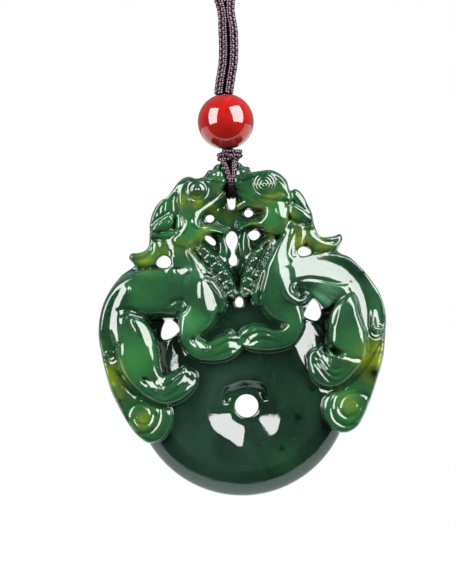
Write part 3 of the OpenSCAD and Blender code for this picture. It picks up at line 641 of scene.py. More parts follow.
def nearest_on_path(u, v, path):
    """For each place, its distance from a path whose third column is a half width, then that half width and
    the path's further columns there. What is nearest goes by the distance as a share of the half width."""
    a, b = path[:-1], path[1:]
    d = b[:, :2] - a[:, :2]
    length = np.maximum((d ** 2).sum(1), 1e-9)
    best = np.full(u.shape, 1e9)
    found = [np.zeros(u.shape) for _ in range(path.shape[1] - 1)]
    for i in range(len(a)):
        t = np.clip(((u - a[i, 0]) * d[i, 0] + (v - a[i, 1]) * d[i, 1]) / length[i], 0, 1)
        gap = np.hypot(u - a[i, 0] - t * d[i, 0], v - a[i, 1] - t * d[i, 1])
        share = gap / (a[i, 2] + t * (b[i, 2] - a[i, 2]))
        hit = share < best
        best = np.where(hit, share, best)
        found[0] = np.where(hit, gap, found[0])
        for c in range(2, path.shape[1]):
            found[c - 1] = np.where(hit, a[i, c] + t * (b[i, c] - a[i, c]), found[c - 1])
    return found


def soft_min(a, b, k):
    h = np.clip(0.5 + 0.5 * (b - a) / k, 0, 1)
    return b + (a - b) * h - k * h * (1 - h)


def soft_max(a, b, k):
    return -soft_min(-a, -b, k)


def gentle(x, low, high):
    """Nought below low, one above high and smooth between."""
    t = np.clip((x - low) / (high - low), 0, 1)
    return t * t * (3 - 2 * t)


def signed_outline(u, v, outline, steps=4):
    """Distance from a closed smooth outline, below nought inside it."""
    n = len(outline)
    p = smooth_path([outline[(i - 2) % n] for i in range(n + 5)], steps)[2 * steps:(n + 2) * steps + 1, :2]
    best = np.full(u.shape, 1e9)
    inside = np.zeros(u.shape, bool)
    for (x0, y0), (x1, y1) in zip(p, p[1:]):
        dx, dy = x1 - x0, y1 - y0
        t = np.clip(((u - x0) * dx + (v - y0) * dy) / max(dx * dx + dy * dy, 1e-9), 0, 1)
        best = np.minimum(best, np.hypot(u - x0 - t * dx, v - y0 - t * dy))
        if y0 != y1:
            inside ^= ((y0 > v) != (y1 > v)) & (u < x0 + (v - y0) * dx / dy)
    return np.where(inside, -best, best)


class Relief:
    """The carving's front as heights over the plane, in hundredths of the thickness."""
    LOWEST = -60.0
    WALL = 40
    GROOVE_WIDTH, GROOVE_DEPTH = 1.3, 0.62

    def __init__(self):
        self.u = np.arange(*GRID_U, CELL)
        self.v = np.arange(*GRID_V, CELL)
        self.flat_u, self.flat_v = np.meshgrid(self.u, self.v, indexing="ij")
        self.top = np.full(self.flat_u.shape, self.LOWEST)
        self.cut = np.zeros(self.flat_u.shape)
        # where each place lies along and across a band of scales: scales along it, and -1 to 1 across it
        self.along = np.zeros(self.flat_u.shape)
        self.across = np.full(self.flat_u.shape, 3.0)

    def make(self, forms, side):
        ways = {"region": self.region, "facet": self.facet, "boss": self.boss, "pit": self.pit}
        for kind, rows, *how in forms:
            ways[kind](mirrored(rows, side), *how)

    def near(self, rows, reach):
        """The part of the plane within reach of some places."""
        low, high = np.min(rows, 0)[:2] - reach, np.max(rows, 0)[:2] + reach
        i = slice(*np.searchsorted(self.u, (low[0], high[0])))
        j = slice(*np.searchsorted(self.v, (low[1], high[1])))
        return i, j

    def join(self, area, form, blend=2):
        self.top[area] = soft_max(self.top[area], form, blend)

    def limb(self, rows, blend, flat=6):
        """A limb along a path. flat sets how flat its top is: 2 is an oval section."""
        path = smooth_path(rows, 9)
        area = self.near(path, path[:, 2].max() + 3)
        gap, wide, middle, tall = nearest_on_path(self.flat_u[area], self.flat_v[area], path)
        bow = np.sqrt(np.clip(1 - (gap / wide) ** flat, 0, 1))
        self.join(area, middle + tall * bow - self.WALL * np.maximum(gap - wide, 0), blend)

    def boss(self, rows, middle, tall, blend=2):
        """Round bosses. columns: to the right, up, radius."""
        for u, v, radius in rows:
            area = self.near([(u, v)], radius + 3)
            gap = np.hypot(self.flat_u[area] - u, self.flat_v[area] - v)
            bow = np.sqrt(np.clip(1 - (gap / radius) ** 2, 0, 1))
            self.join(area, middle + tall * bow - self.WALL * np.maximum(gap - radius, 0), blend)

    def inside_of(self, outline):
        """The part of the plane round a closed outline, and how far inside the outline each place is."""
        area = self.near(outline, 4)
        return area, -signed_outline(self.flat_u[area], self.flat_v[area], outline)

    def region(self, outline, level, soft, deep, lean=(0, 0)):
        """A flat form inside a closed outline, with a rounded edge soft shares wide and deep hundredths low.
        lean is how many hundredths it rises for each share to the right and up."""
        area, inside = self.inside_of(outline)
        middle = np.mean(outline, 0)
        form = level + lean[0] * (self.flat_u[area] - middle[0]) + lean[1] * (self.flat_v[area] - middle[1])
        part = 1 - np.clip(inside / soft, 0, 1)
        edge = deep * (1 - np.sqrt(np.clip(1 - part ** 2, 0, 1)))
        self.join(area, form - edge - self.WALL * np.maximum(-inside, 0))

    def pit(self, outline, level, soft):
        """Sinks the inside of a closed outline to a level, with a slope soft shares wide."""
        area, inside = self.inside_of(outline)
        now = self.top[area]
        self.top[area] = now + (np.minimum(now, level) - now) * gentle(inside, 0, soft)

    def facet(self, rows, lean, hold=1.0, lift=0.0, start=None):
        """Pulls a band along a path to a plane that leans. columns: to the right, up, half width. lean is the
        way the band then looks, in degrees to the right and up. hold is how true the band keeps to the plane
        along its path, lift raises it, and start is the height that it starts from, where that isn't the
        form's own."""
        path = smooth_path([(*r, 0) for r in rows], 6)
        run = path[:, 3] = run_of(path)
        area = self.near(path, path[:, 2].max() * 1.8)
        u, v = self.flat_u[area], self.flat_v[area]
        gap, wide, along = nearest_on_path(u, v, path)
        at_u, at_v = np.interp(along, run, path[:, 0]), np.interp(along, run, path[:, 1])
        slope_u, slope_v = np.tan(np.radians(lean)) / RISE
        if start is None:
            k = np.clip((path[:, 0] - self.u[0]) / CELL, 0, len(self.u) - 1).astype(int)
            m = np.clip((path[:, 1] - self.v[0]) / CELL, 0, len(self.v) - 1).astype(int)
            follow = self.top[k, m]
        else:
            follow = np.full(len(path), float(start))
        mid = len(path) // 2
        level = follow[mid] - slope_u * (path[:, 0] - path[mid, 0]) - slope_v * (path[:, 1] - path[mid, 1])
        base = np.interp(along, run, follow + (level - follow) * hold) + lift
        now = self.top[area]
        plane = base - slope_u * (u - at_u) - slope_v * (v - at_v)
        self.top[area] = now + (plane - now) * np.exp(-(gap / wide) ** 4)

    def line(self, rows, wide, deep):
        """A groove along a path, which fades out at its ends."""
        wide, deep = wide * self.GROOVE_WIDTH, deep * self.GROOVE_DEPTH
        path = smooth_path([(*r[:2], wide, 0) for r in rows])
        run = run_of(path)
        path[:, 3] = run / run[-1]
        area = self.near(path, wide * 3)
        gap, _, t = nearest_on_path(self.flat_u[area], self.flat_v[area], path)
        fade = np.clip(np.minimum(t, 1 - t) * 5 + 0.25, 0, 1)
        self.cut[area] = np.maximum(self.cut[area], deep * np.exp(-(gap / wide) ** 2) * fade)

    def comb(self, first, last, count, wide, deep):
        """Strands between two guide paths."""
        a, b = np.array(first, float), np.array(last, float)
        for k in range(count):
            self.line(a + (b - a) * (k / (count - 1)), wide, deep)

    def soften(self):
        """Rounds off what is finer than the grid."""
        for axis in (0, 1):
            ahead, behind = np.roll(self.top, 1, axis), np.roll(self.top, -1, axis)
            self.top = (ahead + 2 * self.top + behind) / 4


def lay_scales(relief, side):
    """A flat band of scales, two to a row, from the jaw down to the middle: low grooves between them and a
    low knob on each. The finish sharpens them, from where each place lies along and across the band."""
    rows = to_side(BOTH["scale_band"], side)
    relief.facet([(u, v, 0.85 * wide) for u, v, wide, *_ in rows], (0, -4))
    path = smooth_path(rows, 8)
    run = run_of(path)
    area = relief.near(path, 12)
    u, v = relief.flat_u[area], relief.flat_v[area]
    gap, wide, far = nearest_on_path(u, v, np.column_stack([path[:, :3], run]))
    at = [np.interp(far, run, path[:, c]) for c in range(2)]
    ahead = [np.interp(far + 0.5, run, path[:, c]) - np.interp(far - 0.5, run, path[:, c])
             for c in range(2)]
    turn = np.sign(ahead[0] * (v - at[1]) - ahead[1] * (u - at[0]))
    # other forms that stand over the band have no scales
    over = 0.25 * np.maximum(relief.top[area] - 84, 0)
    along, across = far / SCALE_STEP, turn * (gap / wide / SCALE_WIDTH + over)
    end, edge = np.abs(along % 1 - 0.5), np.abs(across % 1 - 0.5)
    groove = np.maximum(gentle(end, 0.32, 0.5), 0.5 * gentle(edge, 0.32, 0.5))
    low = groove - 0.7 * (1 - gentle(np.hypot(end, edge), 0.1, 0.3))
    hit = gap < wide * 1.4
    relief.top[area] -= np.where(hit & (np.abs(across) < 0.95), 1.6 * low, 0)
    relief.along[area] = np.where(hit, along, relief.along[area])
    relief.across[area] = np.where(hit, across, relief.across[area])


def carve():
    """The beasts' front, from the broad masses to the fine grooves."""
    relief = Relief()
    relief.top[:] = 38 + 14 * gentle(relief.flat_v, 84, 100)
    for side in (LEFT, RIGHT):
        for rows in MASSES[side]:
            relief.limb([(u * side, v, wide, MASS_MIDDLE, tall) for u, v, wide, tall in rows], 4, 5)
        for rows in LIMBS[side].values():
            relief.limb(mirrored(rows, side), 2)
        for rows in BOTH.values():
            relief.limb(to_side(rows, side), 1.5, 3)
        relief.make(BODIES[side], side)
    for side in (LEFT, RIGHT):
        relief.make(HEADS[side], side)
    relief.limb(CREST, 2, 3)
    for side in (LEFT, RIGHT):
        relief.boss(mirrored(CREST_BEADS, side), 44, 18, 1)
    for side in (LEFT, RIGHT):
        lay_scales(relief, side)
    for side in (LEFT, RIGHT):
        for rows, *how in SHINE[side]:
            relief.facet(mirrored(rows, side), *how)
        for wide, deep, rows in GROOVES[side]:
            relief.line(mirrored(rows, side), wide, deep)
        for wide, deep, count, *guides in STRANDS[side]:
            relief.comb(*[mirrored(rows, side) for rows in guides], count, wide, deep)
    relief.top -= relief.cut
    relief.soften()
    return relief


def carve_disc(u, v, from_disc):
    """The disc's own heights: a flat face, a broad rounded rim and a wide shallow dish round its hole."""
    over = np.clip((from_disc - DISC_FLAT) / (DISC_RADIUS - DISC_FLAT), 0, 0.999)
    face = DISC_RIM + (DISC_FACE - DISC_RIM) * (1 - over ** 1.4) ** (1 / 1.4)
    wave = 0.5 * np.sin(u / 17 + 1) * np.sin(v / 13 + 2)
    disc = Relief()
    dish = soft_max(soft_min(-signed_outline(u, v, DISH) / DISH_SLOPE, 1, 0.25), 0, 0.15)
    disc.top = face + wave - DISH_DEPTH * dish
    for rows, *how in DISC_FACETS:
        disc.facet(rows, *how)
    return disc.top


def from_face(height, flat_h):
    """How far each point lies in front of a relief, in shares."""
    front = height * RISE
    gu, gv = np.gradient(front, CELL)
    steep = np.sqrt(1 + np.minimum(gu ** 2 + gv ** 2, 9))
    return (flat_h - front[..., None]) / steep[..., None]


def back_height(out, start, wide, bend):
    """The flat back's height, which rises for wide shares once a place is start shares out."""
    return (BACK * RISE + np.clip(out - start, 0, wide) ** 2 * bend)[..., None]


def solid_field(relief):
    """A grid's heights, and how far each of its points lies outside the beasts and outside the whole
    carving, in shares. The back is flat, with a soft edge."""
    u, v = relief.flat_u, relief.flat_v
    h = np.arange(*GRID_H, CELL)
    outline = [(-x, y) for x, y in LEFT_OUTLINE[::-1]] + RIGHT_OUTLINE[:-1]
    edge = signed_outline(u, v, outline)
    behind = back_height(edge, -7, 9, 0.08) - h
    beasts = soft_max(from_face(relief.top, h), np.maximum(edge[..., None], behind), BEAST_EDGE)
    from_disc = np.hypot(u - DISC_AT[0], v - DISC_AT[1])
    face = from_face(carve_disc(u, v, from_disc), h)
    disc = soft_max(face, (from_disc - DISC_RADIUS)[..., None], DISC_EDGE)
    disc = soft_max(disc, back_height(from_disc, 64, 12, 0.03) - h, DISC_BACK_EDGE)
    far = soft_min(beasts, disc, WHERE_THEY_MEET)
    for outline in HOLES.values():
        area = relief.near(outline, 8)
        far[area] = soft_max(far[area], -signed_outline(u[area], v[area], outline)[..., None], HOLE_EDGE)
    far = soft_max(far, (HOLE_RADIUS - np.hypot(u, v))[..., None], BORE_EDGE)
    return h, beasts.astype(np.float32), far.astype(np.float32)


# From the field to a mesh
MOST_TRIANGLES = 195000
# How far round a place its hollow is judged, in grid steps, and the depth that counts as a full hollow, for
# the painted shade that darkens hollows
HOLLOW_REACH, HOLLOW_FULL = 6, 30
# The heights between which the finish's front begins, in shares
FRONT_HEIGHTS = (5, 14)


def field_at(field, where):
    """The field's values between its grid points."""
    where = np.clip(where, 0, np.array(field.shape) - 1.001)
    low = where.astype(int)
    part = where - low
    total = 0
    for corner in range(8):
        step = np.array([corner & 1, corner >> 1 & 1, corner >> 2 & 1])
        weight = np.prod(np.where(step, part, 1 - part), axis=1)
        i, j, k = (low + step).T
        total = total + weight * field[i, j, k]
    return total


def surface_of(far):
    """Points in grid steps and faces of the surface where the field is nought."""
    import openvdb
    grid = openvdb.FloatGrid(3.0)
    grid.copyFromArray(np.clip(far, -3, 3))
    points, triangles, quads = grid.convertToPolygons(0.0, 0.0)
    points = points.astype(float)
    slopes = [np.gradient(far, axis=a) for a in range(3)]
    for _ in range(3):
        slope = np.stack([field_at(s, points) for s in slopes], 1)
        step = (field_at(far, points) / np.maximum((slope ** 2).sum(1), 0.05))[:, None] * slope
        points -= np.clip(step, -0.6, 0.6)
    return points, [tuple(f) for f in triangles] + [tuple(f) for f in quads]


def blurred(height, reach):
    """A box blur, run twice, with a reach in grid steps."""
    width = 2 * reach + 1
    for axis in (0, 1, 0, 1):
        padded = np.pad(height, [(reach + 1, reach) if a == axis else (0, 0) for a in (0, 1)], mode="edge")
        total = np.cumsum(padded, axis=axis)
        n = height.shape[axis]
        height = np.take(total, range(width, n + width), axis=axis) - np.take(total, range(n), axis=axis)
        height = height / width
    return height


def face_outwards(mesh):
    mesh.update()
    if sum(p.area * p.center.dot(p.normal) for p in mesh.polygons) < 0:
        mesh.flip_normals()
    mesh.shade_smooth()


def thinned(piece, most):
    """Merges a piece's faces, the flattest first, until it has at most so many triangles."""
    merge = piece.modifiers.new("thin", "DECIMATE")
    merge.ratio = most / sum(len(p.vertices) - 2 for p in piece.data.polygons)
    made = bpy.data.meshes.new_from_object(piece.evaluated_get(bpy.context.evaluated_depsgraph_get()))
    made.name = piece.name
    piece.modifiers.clear()
    piece.data = made
    return piece


# Coloured places in the stone, and its dark specks; the pale places are part paler stone, part painted sheen.
# columns: to the right, up, radius, strength
STONE = {
    "yellow": [(-91.5, 28, 8.5, 1.5), (-87, 16, 6, 0.4), (91, 25.5, 11, 1.6), (95, 33, 5, 0.6),
        (-71.5, -4, 6, 0.7), (70.5, -3, 6, 0.6), (-33, 145, 5, 0.6), (-24, 143.5, 4.5, 0.9),
        (-14, 139, 5, 0.8), (-2.5, 134, 4, 0.6), (4, 139.5, 4, 0.6), (19, 137.5, 5, 0.7),
        (27, 144, 4.5, 0.5), (27, 120, 4.5, 0.6), (40, 129, 5, 0.6), (47, 113, 7, 0.9),
        (60, 108, 7, 0.6), (-30, 113.5, 5, 0.8), (-39, 115.5, 5, 0.7), (-22, 119, 4, 0.6),
        (26, 119.5, 5, 0.8), (15, 124.5, 4, 0.6), (33, 143, 4, 0.6), (-50, 112, 6, 0.5),
        (-63, 105.5, 6, 0.8), (-19, 124, 4, 0.5), (-8, 150, 4, 0.4)],
    # pale: paler greyish stone, and a painted sheen where the polish catches the lamps
    "pale": [(60, 74, 9, 1), (-40, 62, 8, 0.6), (32, 96, 9, 0.5), (-30, 96, 8, 0.4), (48, 40, 6, 0.4)],
    "light": [(-40, 130, 13, 0.8), (-24, 124, 11, 0.8), (-44, 145, 9, 0.5), (-8, 158, 9, 0.5),
        (31, 131, 11, 1), (40, 145, 10, 0.5), (12, 147, 8, 0.6), (0, 118, 14, 0.4), (-74, 38, 17, 0.9),
        (-60, 16, 12, 0.5), (74, 34, 12, 0.5), (35, 58, 9, 0.5), (-32, 62, 13, 0.8), (-32, 44, 8, 0.5),
        (0, 46, 14, 0.4), (-70, 2, 14, 0.7), (70, 2, 14, 0.7), (-70, 84, 9, 0.4), (22, -38, 14, 0.5),
        (35, 6, 14, 0.35), (-60, 108, 10, 0.5)],
}
SPECKS = [(-25, -6, 1.6, 0.8), (35, -10, 2.2, 1), (46.5, 9, 1.8, 0.9), (90, 17, 4, 1),
    (22, -31, 1.6, 0.8), (-60, 3, 1.2, 0.5), (73, 70, 1.5, 0.7), (-70, 55, 1.5, 0.5), (60, 61, 1.3, 0.4),
    (-37, 127, 1.2, 0.7)]


def patches(u, v, rows):
    total = np.zeros_like(u)
    for x, y, r, strength in rows:
        total = np.maximum(total, strength * np.exp(-((u - x) ** 2 + (v - y) ** 2) / r ** 2))
    return total


def make_carving():
    relief = carve()
    heights, beasts, far = solid_field(relief)
    points, faces = surface_of(far)
    u, v, h = [axis[0] + points[:, c] * CELL for c, axis in enumerate((relief.u, relief.v, heights))]
    place = np.stack([u * SHARE, JADE_THICKNESS / 2 - h * SHARE, v * SHARE - DROP], 1)
    mesh = bpy.data.meshes.new("jade")
    mesh.from_pydata(place.tolist(), [], faces)
    face_outwards(mesh)
    # what the stone's finish reads at each point
    top = np.maximum(relief.top, 40)
    front = gentle(h, *FRONT_HEIGHTS)
    flat = np.stack([points[:, 0], points[:, 1], 0 * h], 1)
    hollow_shade, along, across = [field_at(plane[..., None].repeat(2, 2), flat)
                             for plane in (blurred(top, HOLLOW_REACH) - top, relief.along, relief.across)]
    spots = {
        # painted shade: strongest where a place lies deepest below its surroundings
        "hollow_shade": hollow_shade / HOLLOW_FULL * front,
        "along": along,
        "across": across + 3 * (1 - front),
        "disc": np.clip(field_at(beasts, points) / 1.5, 0, 1) * front,
    }
    spots.update({name: patches(u, v, rows) for name, rows in STONE.items()})
    for name, values in spots.items():
        layer = mesh.attributes.new(name, "FLOAT", "POINT")
        layer.data.foreach_set("value", values.astype(np.float32))
    return thinned(new_object("jade", mesh), MOST_TRIANGLES)


# Finishes
class Finish:
    """A material, and short ways to make what its shader is given."""

    def __init__(self, name):
        self.material = bpy.data.materials.new(name)
        self.material.use_nodes = True
        self.tree = self.material.node_tree
        self.shader = self.tree.nodes["Principled BSDF"]
        self.place = add(self.tree, "ShaderNodeTexCoord").outputs["Object"]

    def noise(self, scale, detail=3, rough=0.55, twist=0.0):
        node = add(self.tree, "ShaderNodeTexNoise", {"Vector": self.place, "Scale": scale, "Detail": detail,
                                                     "Roughness": rough, "Distortion": twist})
        return Number(self.tree, node.outputs["Fac"])

    def attribute(self, name):
        return Number(self.tree, add(self.tree, "ShaderNodeAttribute", attribute_name=name).outputs["Fac"])

    def axes(self):
        """How far each place is to the right, back and up."""
        node = add(self.tree, "ShaderNodeSeparateXYZ", {0: self.place})
        return [Number(self.tree, way) for way in node.outputs]

    def mixed(self, part, first, second):
        node = add(self.tree, "ShaderNodeMix", {"Factor": part, "A": first, "B": second}, data_type="RGBA")
        return node.outputs["Result"]

    def give(self, inputs):
        fill(self.tree, self.shader, inputs)

    def bump(self, *layers):
        """Roughens the surface by layers of heights, each with its strength and distance."""
        under = {}
        for height, strength, distance in layers:
            node = add(self.tree, "ShaderNodeBump", {
                "Height": height, "Strength": strength, "Distance": distance, **under})
            under = {"Normal": node.outputs[0]}
        self.give(under)


GREEN_DARK = (0.0065, 0.026, 0.0135, 1)
GREEN = (0.010, 0.048, 0.0175, 1)
GREEN_LIGHT = (0.018, 0.085, 0.022, 1)
GREEN_CLEAR = (0.019, 0.105, 0.024, 1)
# a pale grey-green, partly paler stone and partly painted sheen
GREEN_PALE_SHEEN = (0.05, 0.15, 0.075, 1)
DISC_DARK = (0.0045, 0.0135, 0.0085, 1)
DISC_GREEN = (0.0105, 0.031, 0.019, 1)
YELLOW_GREEN = (0.11, 0.145, 0.006, 1)
# painted shade for the carving's hollows and grooves
RECESS_SHADE = (0.002, 0.009, 0.005, 1)
SPECK = (0.0015, 0.0035, 0.002, 1)
RED_DARK, RED, RED_SPOT = (0.17, 0.0045, 0.0035, 1), (0.23, 0.007, 0.005, 1), (0.2, 0.02, 0.008, 1)
PURPLE_DARK, PURPLE, FIBRE = (0.0015, 0.0005, 0.0016, 1), (0.006, 0.002, 0.005, 1), (0.03, 0.01, 0.022, 1)
SILK_SHINE, SILK_SHEEN = (1, 0.72, 0.86, 1), (0.8, 0.5, 0.65, 1)
FLOOR_PALE, FLOOR_PALER = (0.70, 0.80, 0.79, 1), (0.76, 0.85, 0.84, 1)


def jade_finish():
    """Deep green stone with cloudy lighter greens, yellow-green patches and dark specks, wet and glossy, with
    painted shade in its hollows and in places a painted sheen.
    """
    jade = Finish("jade")
    cloud = jade.noise(90, 4, 0.6, 0.6)
    vein = jade.noise(260, 5, 0.65, 1.2)
    fine = jade.noise(900, 4, 0.7, 0.4)
    dots = jade.noise(520, 2, 0.5).spread(0.70, 0.76, 0, 0.7)
    lit = jade.attribute("light") * cloud.spread(0.3, 0.6, 0.5, 1)
    green = jade.mixed(cloud.spread(0.38, 0.66), GREEN_DARK, GREEN)
    green = jade.mixed(vein.spread(0.55, 0.75, 0, 0.55), green, GREEN_LIGHT)
    green = jade.mixed(lit, green, GREEN_CLEAR)
    disc = jade.mixed(cloud.spread(0.38, 0.68), DISC_DARK, DISC_GREEN)
    disc = jade.mixed(lit * 0.6, disc, GREEN_LIGHT)
    colour = jade.mixed(jade.attribute("disc"), green, disc)
    for part, tint in (
            # paler stone, partly a painted sheen
            (jade.attribute("pale") * vein.spread(0.35, 0.65, 0.3, 1), GREEN_PALE_SHEEN),
            (jade.attribute("yellow") * vein.spread(0.35, 0.62, 0.25, 1), YELLOW_GREEN),
            # painted shade: the carving's hollows and grooves darkened in the colour
            (jade.attribute("hollow_shade").spread(0.05, 0.6, 0, 0.6), RECESS_SHADE),
            (specks(jade).of("MAXIMUM", dots), SPECK)):
        colour = jade.mixed(part, colour, tint)
    jade.give({"Base Color": colour, "Roughness": fine.spread(0.4, 0.7, 0.04, 0.1), "IOR": 1.61,
               "Subsurface Weight": 0.35, "Subsurface Radius": (0.25, 1.0, 0.45),
               "Subsurface Scale": 0.0012})
    jade.bump((vein, 0.12, 0.0004), (fine_rings(jade), 1.0, 0.00005), (scale_heights(jade), 1.0, 0.00013))
    return jade.material


def scale_heights(jade):
    """The scales' heights: deep grooves across the band, faint ones along it and a knob on each scale."""
    across = jade.attribute("across")
    end, edge = [abs(value.of("FRACT") - 0.5) for value in (jade.attribute("along"), across + 2)]
    knob = (end ** 2 + edge ** 2).spread(0.08, 0.01) * 1.5
    scale = knob + end.spread(0.5, 0.36) * 0.9 + edge.spread(0.5, 0.38) * 0.3
    return scale * abs(across).spread(1.0, 0.86)


# Fine rings at the eyes and curls on the hips. columns: to the right, up, reach, pitch, turns of the curl
FINE_RINGS = [(-23.1, 152.4, 8.6, 3, 0), (23.4, 153.2, 8.6, 2.1, 0), (-91.5, 41.5, 6.6, 2.9, -1),
    (93.6, 45.5, 6.6, 2.9, 1)]
# From here back the fine rings and the specks fade, so that they are on the stone's front alone
FRONT_FROM = 0.0015


def from_spot(x, z, u, v):
    """How far each place is from an upright line through the stone, with its two parts."""
    across, above = x - u * SHARE, z - (v * SHARE - DROP)
    return (across * across + above * above).of("SQRT"), across, above


def fine_rings(jade):
    """The fine rings and curls cut in the stone's front, as heights."""
    x, y, z = jade.axes()
    total = 0.0
    for u, v, reach, pitch, turns in FINE_RINGS:
        gap, across, above = from_spot(x, z, u, v)
        angle = gap * (FULL_TURN / (pitch * SHARE)) + above.of("ARCTAN2", across) * turns
        total = angle.of("COSINE") * gap.spread(reach * SHARE, (reach - 1) * SHARE) + total
    return total * y.spread(FRONT_FROM, 0)


def specks(jade):
    """The stone's few dark specks, seen from the front."""
    x, y, z = jade.axes()
    total = 0.0
    for u, v, radius, strength in SPECKS:
        gap = from_spot(x, z, u, v)[0]
        total = gap.spread(radius * SHARE * 1.7, radius * SHARE * 0.3, 0, strength).of("MAXIMUM", total)
    return total * y.spread(FRONT_FROM, 0)


def bead_finish():
    """Polished red stone, a little cloudy."""
    bead = Finish("red_bead")
    cloud = bead.noise(300, 4, 0.6, 0.5)
    fine = bead.noise(2200, 3, 0.6)
    colour = bead.mixed(cloud.spread(0.35, 0.7), RED_DARK, RED)
    colour = bead.mixed(fine.spread(0.66, 0.74, 0, 0.35), colour, RED_SPOT)
    bead.give({"Base Color": colour, "Roughness": fine.spread(0.3, 0.7, 0.02, 0.06), "IOR": 1.6})
    return bead.material


def braid_finish():
    """Dark purple silky strands with fine fibres, and a painted shadow where they go into the slot."""
    braid = Finish("braid")
    cloud = braid.noise(1400, 3, 0.6)
    fibre = braid.noise(9000, 3, 0.7)
    colour = braid.mixed(cloud.spread(0.35, 0.65), PURPLE_DARK, PURPLE)
    colour = braid.mixed(fibre.spread(0.55, 0.8, 0, 0.4), colour, FIBRE)
    # painted shadow: the cord's shine is turned down below the slot's top, where it lies in the slot's shade
    slot_shade = braid.axes()[2].spread(0.0405 - DROP, 0.0392 - DROP, 1.0, 0.15)
    braid.give({"Base Color": colour, "Roughness": fibre.spread(0.3, 0.7, 0.08, 0.2), "IOR": 1.55,
                "Specular Tint": SILK_SHINE, "Specular IOR Level": slot_shade * 0.6,
                "Sheen Weight": 0.04, "Sheen Tint": SILK_SHEEN})
    braid.bump((fibre, 0.5, 0.00005))
    return braid.material


def floor_finish():
    floor = Finish("floor")
    pale = floor.mixed(floor.noise(3, 3), FLOOR_PALE, FLOOR_PALER)
    floor.give({"Base Color": pale, "Emission Color": pale, "Emission Strength": 1.8, "Roughness": 0.7})
    return floor.material


# Bead and cords
BEAD_RADIUS, BORE_RADIUS = 0.005, 0.0013
BEAD_Z = 0.05107 - DROP
CORD_DIAMETER = 0.0016
CORD_SIDE = CORD_DIAMETER / 2 + 0.00002
CORD_Z = 0.05613 - DROP
# The hanging cord's lean to the right at the bead, and the width of its loop, in millimetres
CORD_LEAN, LOOP_WIDE = 1.6, 12


def lathe(name, profile, turns, material):
    """A closed profile, given as radius and height, spun round the upright line."""
    count = len(profile)
    angles = np.arange(turns) * 2 * math.pi / turns
    points = [(r * math.cos(a), r * math.sin(a), z) for a in angles for r, z in profile]
    faces = []
    for t in range(turns):
        for i in range(count):
            j, n = (i + 1) % count, (t + 1) % turns
            faces.append((t * count + i, n * count + i, n * count + j, t * count + j))
    mesh = bpy.data.meshes.new(name)
    mesh.from_pydata(points, [], faces)
    face_outwards(mesh)
    mesh.materials.append(material)
    return new_object(name, mesh)


def make_bead(material):
    """A drilled ball with a small round on the edge of its bore."""
    soft = 0.00022
    edge = math.asin((BORE_RADIUS + soft) / BEAD_RADIUS)
    outside = [(BEAD_RADIUS * math.sin(a), BEAD_RADIUS * math.cos(a))
               for a in np.linspace(edge, math.pi - edge, 65)]
    top = BEAD_RADIUS * math.cos(edge) - soft
    round_low = [(BORE_RADIUS + soft - soft * math.sin(a), -top - soft * math.cos(a))
                 for a in np.radians([25, 50, 75, 90])]
    bore = [(BORE_RADIUS, z) for z in np.linspace(-top * 0.8, top * 0.8, 5)]
    round_high = [(r, -z) for r, z in round_low[::-1]]
    profile = [(r, z + BEAD_Z) for r, z in outside + round_low + bore + round_high]
    return lathe("bead", profile, 96, material)


def cord_points():
    """The hanging cord's route: up from the bead, round its loop and back down."""
    drop = DROP * 1000
    side, top = CORD_SIDE * 1000, drop + CORD_DIAMETER * 500
    z = CORD_Z * 1000 + drop
    # one leg's rows: how far out, how far over by its lean, and how high
    leg = [(side, 0, z), (side, 0.4, z + 2), (side, CORD_LEAN * 0.8, z + 6), (side, CORD_LEAN, z + 11),
           (side, CORD_LEAN * 0.9, z + 16), (LOOP_WIDE * 0.3, CORD_LEAN * 0.7, top - 16),
           (LOOP_WIDE * 0.48, CORD_LEAN * 0.3, top - 10.5), (LOOP_WIDE * 0.5, 0, top - 6.5),
           (LOOP_WIDE * 0.4, 0, top - 2.6), (LOOP_WIDE * 0.2, 0, top - 0.5)]
    rise = [(over + out, 0, up - drop) for out, over, up in leg]
    fall = [(over - out, 0, up - drop) for out, over, up in leg[::-1]]
    return smooth_points(in_metres(rise + [(0, 0, top - drop)] + fall), 8)


def make_hanging_cord(material):
    points = cord_points()
    cord = braided("hanging_cord_braid", points, CORD_DIAMETER * 1.3, 8, 0.0034, material,
                   per_turn=26, pinch=0.05, strand=0.2)
    length = route_length(points)
    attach(cord, "root")
    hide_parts("hanging_cord")


def joined(name, pieces):
    """Several mesh pieces made one."""
    with bpy.context.temp_override(active_object=pieces[0], selected_editable_objects=pieces):
        bpy.ops.object.join()
    pieces[0].name = name
    pieces[0].data.name = name
    return pieces[0]


def make_tie(material):
    """Two strands from the knot that meet in a band, go through the slot and up the back."""
    strands = []
    for side, mid, low in ((-1, -0.42, -0.06), (1, 0.83, 0.62)):
        rows = [
            (side * 0.32, 0, 55.6), (side * 0.32, 0, 52), (side * 0.32, 0, 48), (side * 0.6, -0.4, 45.4),
            (side * 1.0, -1.2, 44.3), ((mid + side) / 2, -1.85, 43.4), (mid, -2.25, 42.4),
            (low + side * 0.03, -2.5, 41), (low, -2.6, 39.8), (low, -2.4, 38.8), (low, -1.6, 38.1),
            (side * 0.4, -0.4, 37.9), (side * 0.4, 2, 37.9), (side * 0.42, 4.6, 37.9),
            (side * 0.42, 5.8, 38.5), (side * 0.42, 6.0, 40), (side * 0.42, 5.9, 41.4),
            (side * 0.4, 5.2, 42.6), (side * 0.4, 3, 43.1), (side * 0.4, 1.2, 43.6), (side * 0.45, 0.5, 44.6)]
        points = smooth_points(in_metres(rows, DROP), 6)
        strands.append(braided("tie_strand", points, 0.00132, 6, 0.0030, material, per_turn=20, strand=0.24))
    tie = joined("tie_cord_braid", strands)
    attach(tie, "root")
    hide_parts("tie_cord")


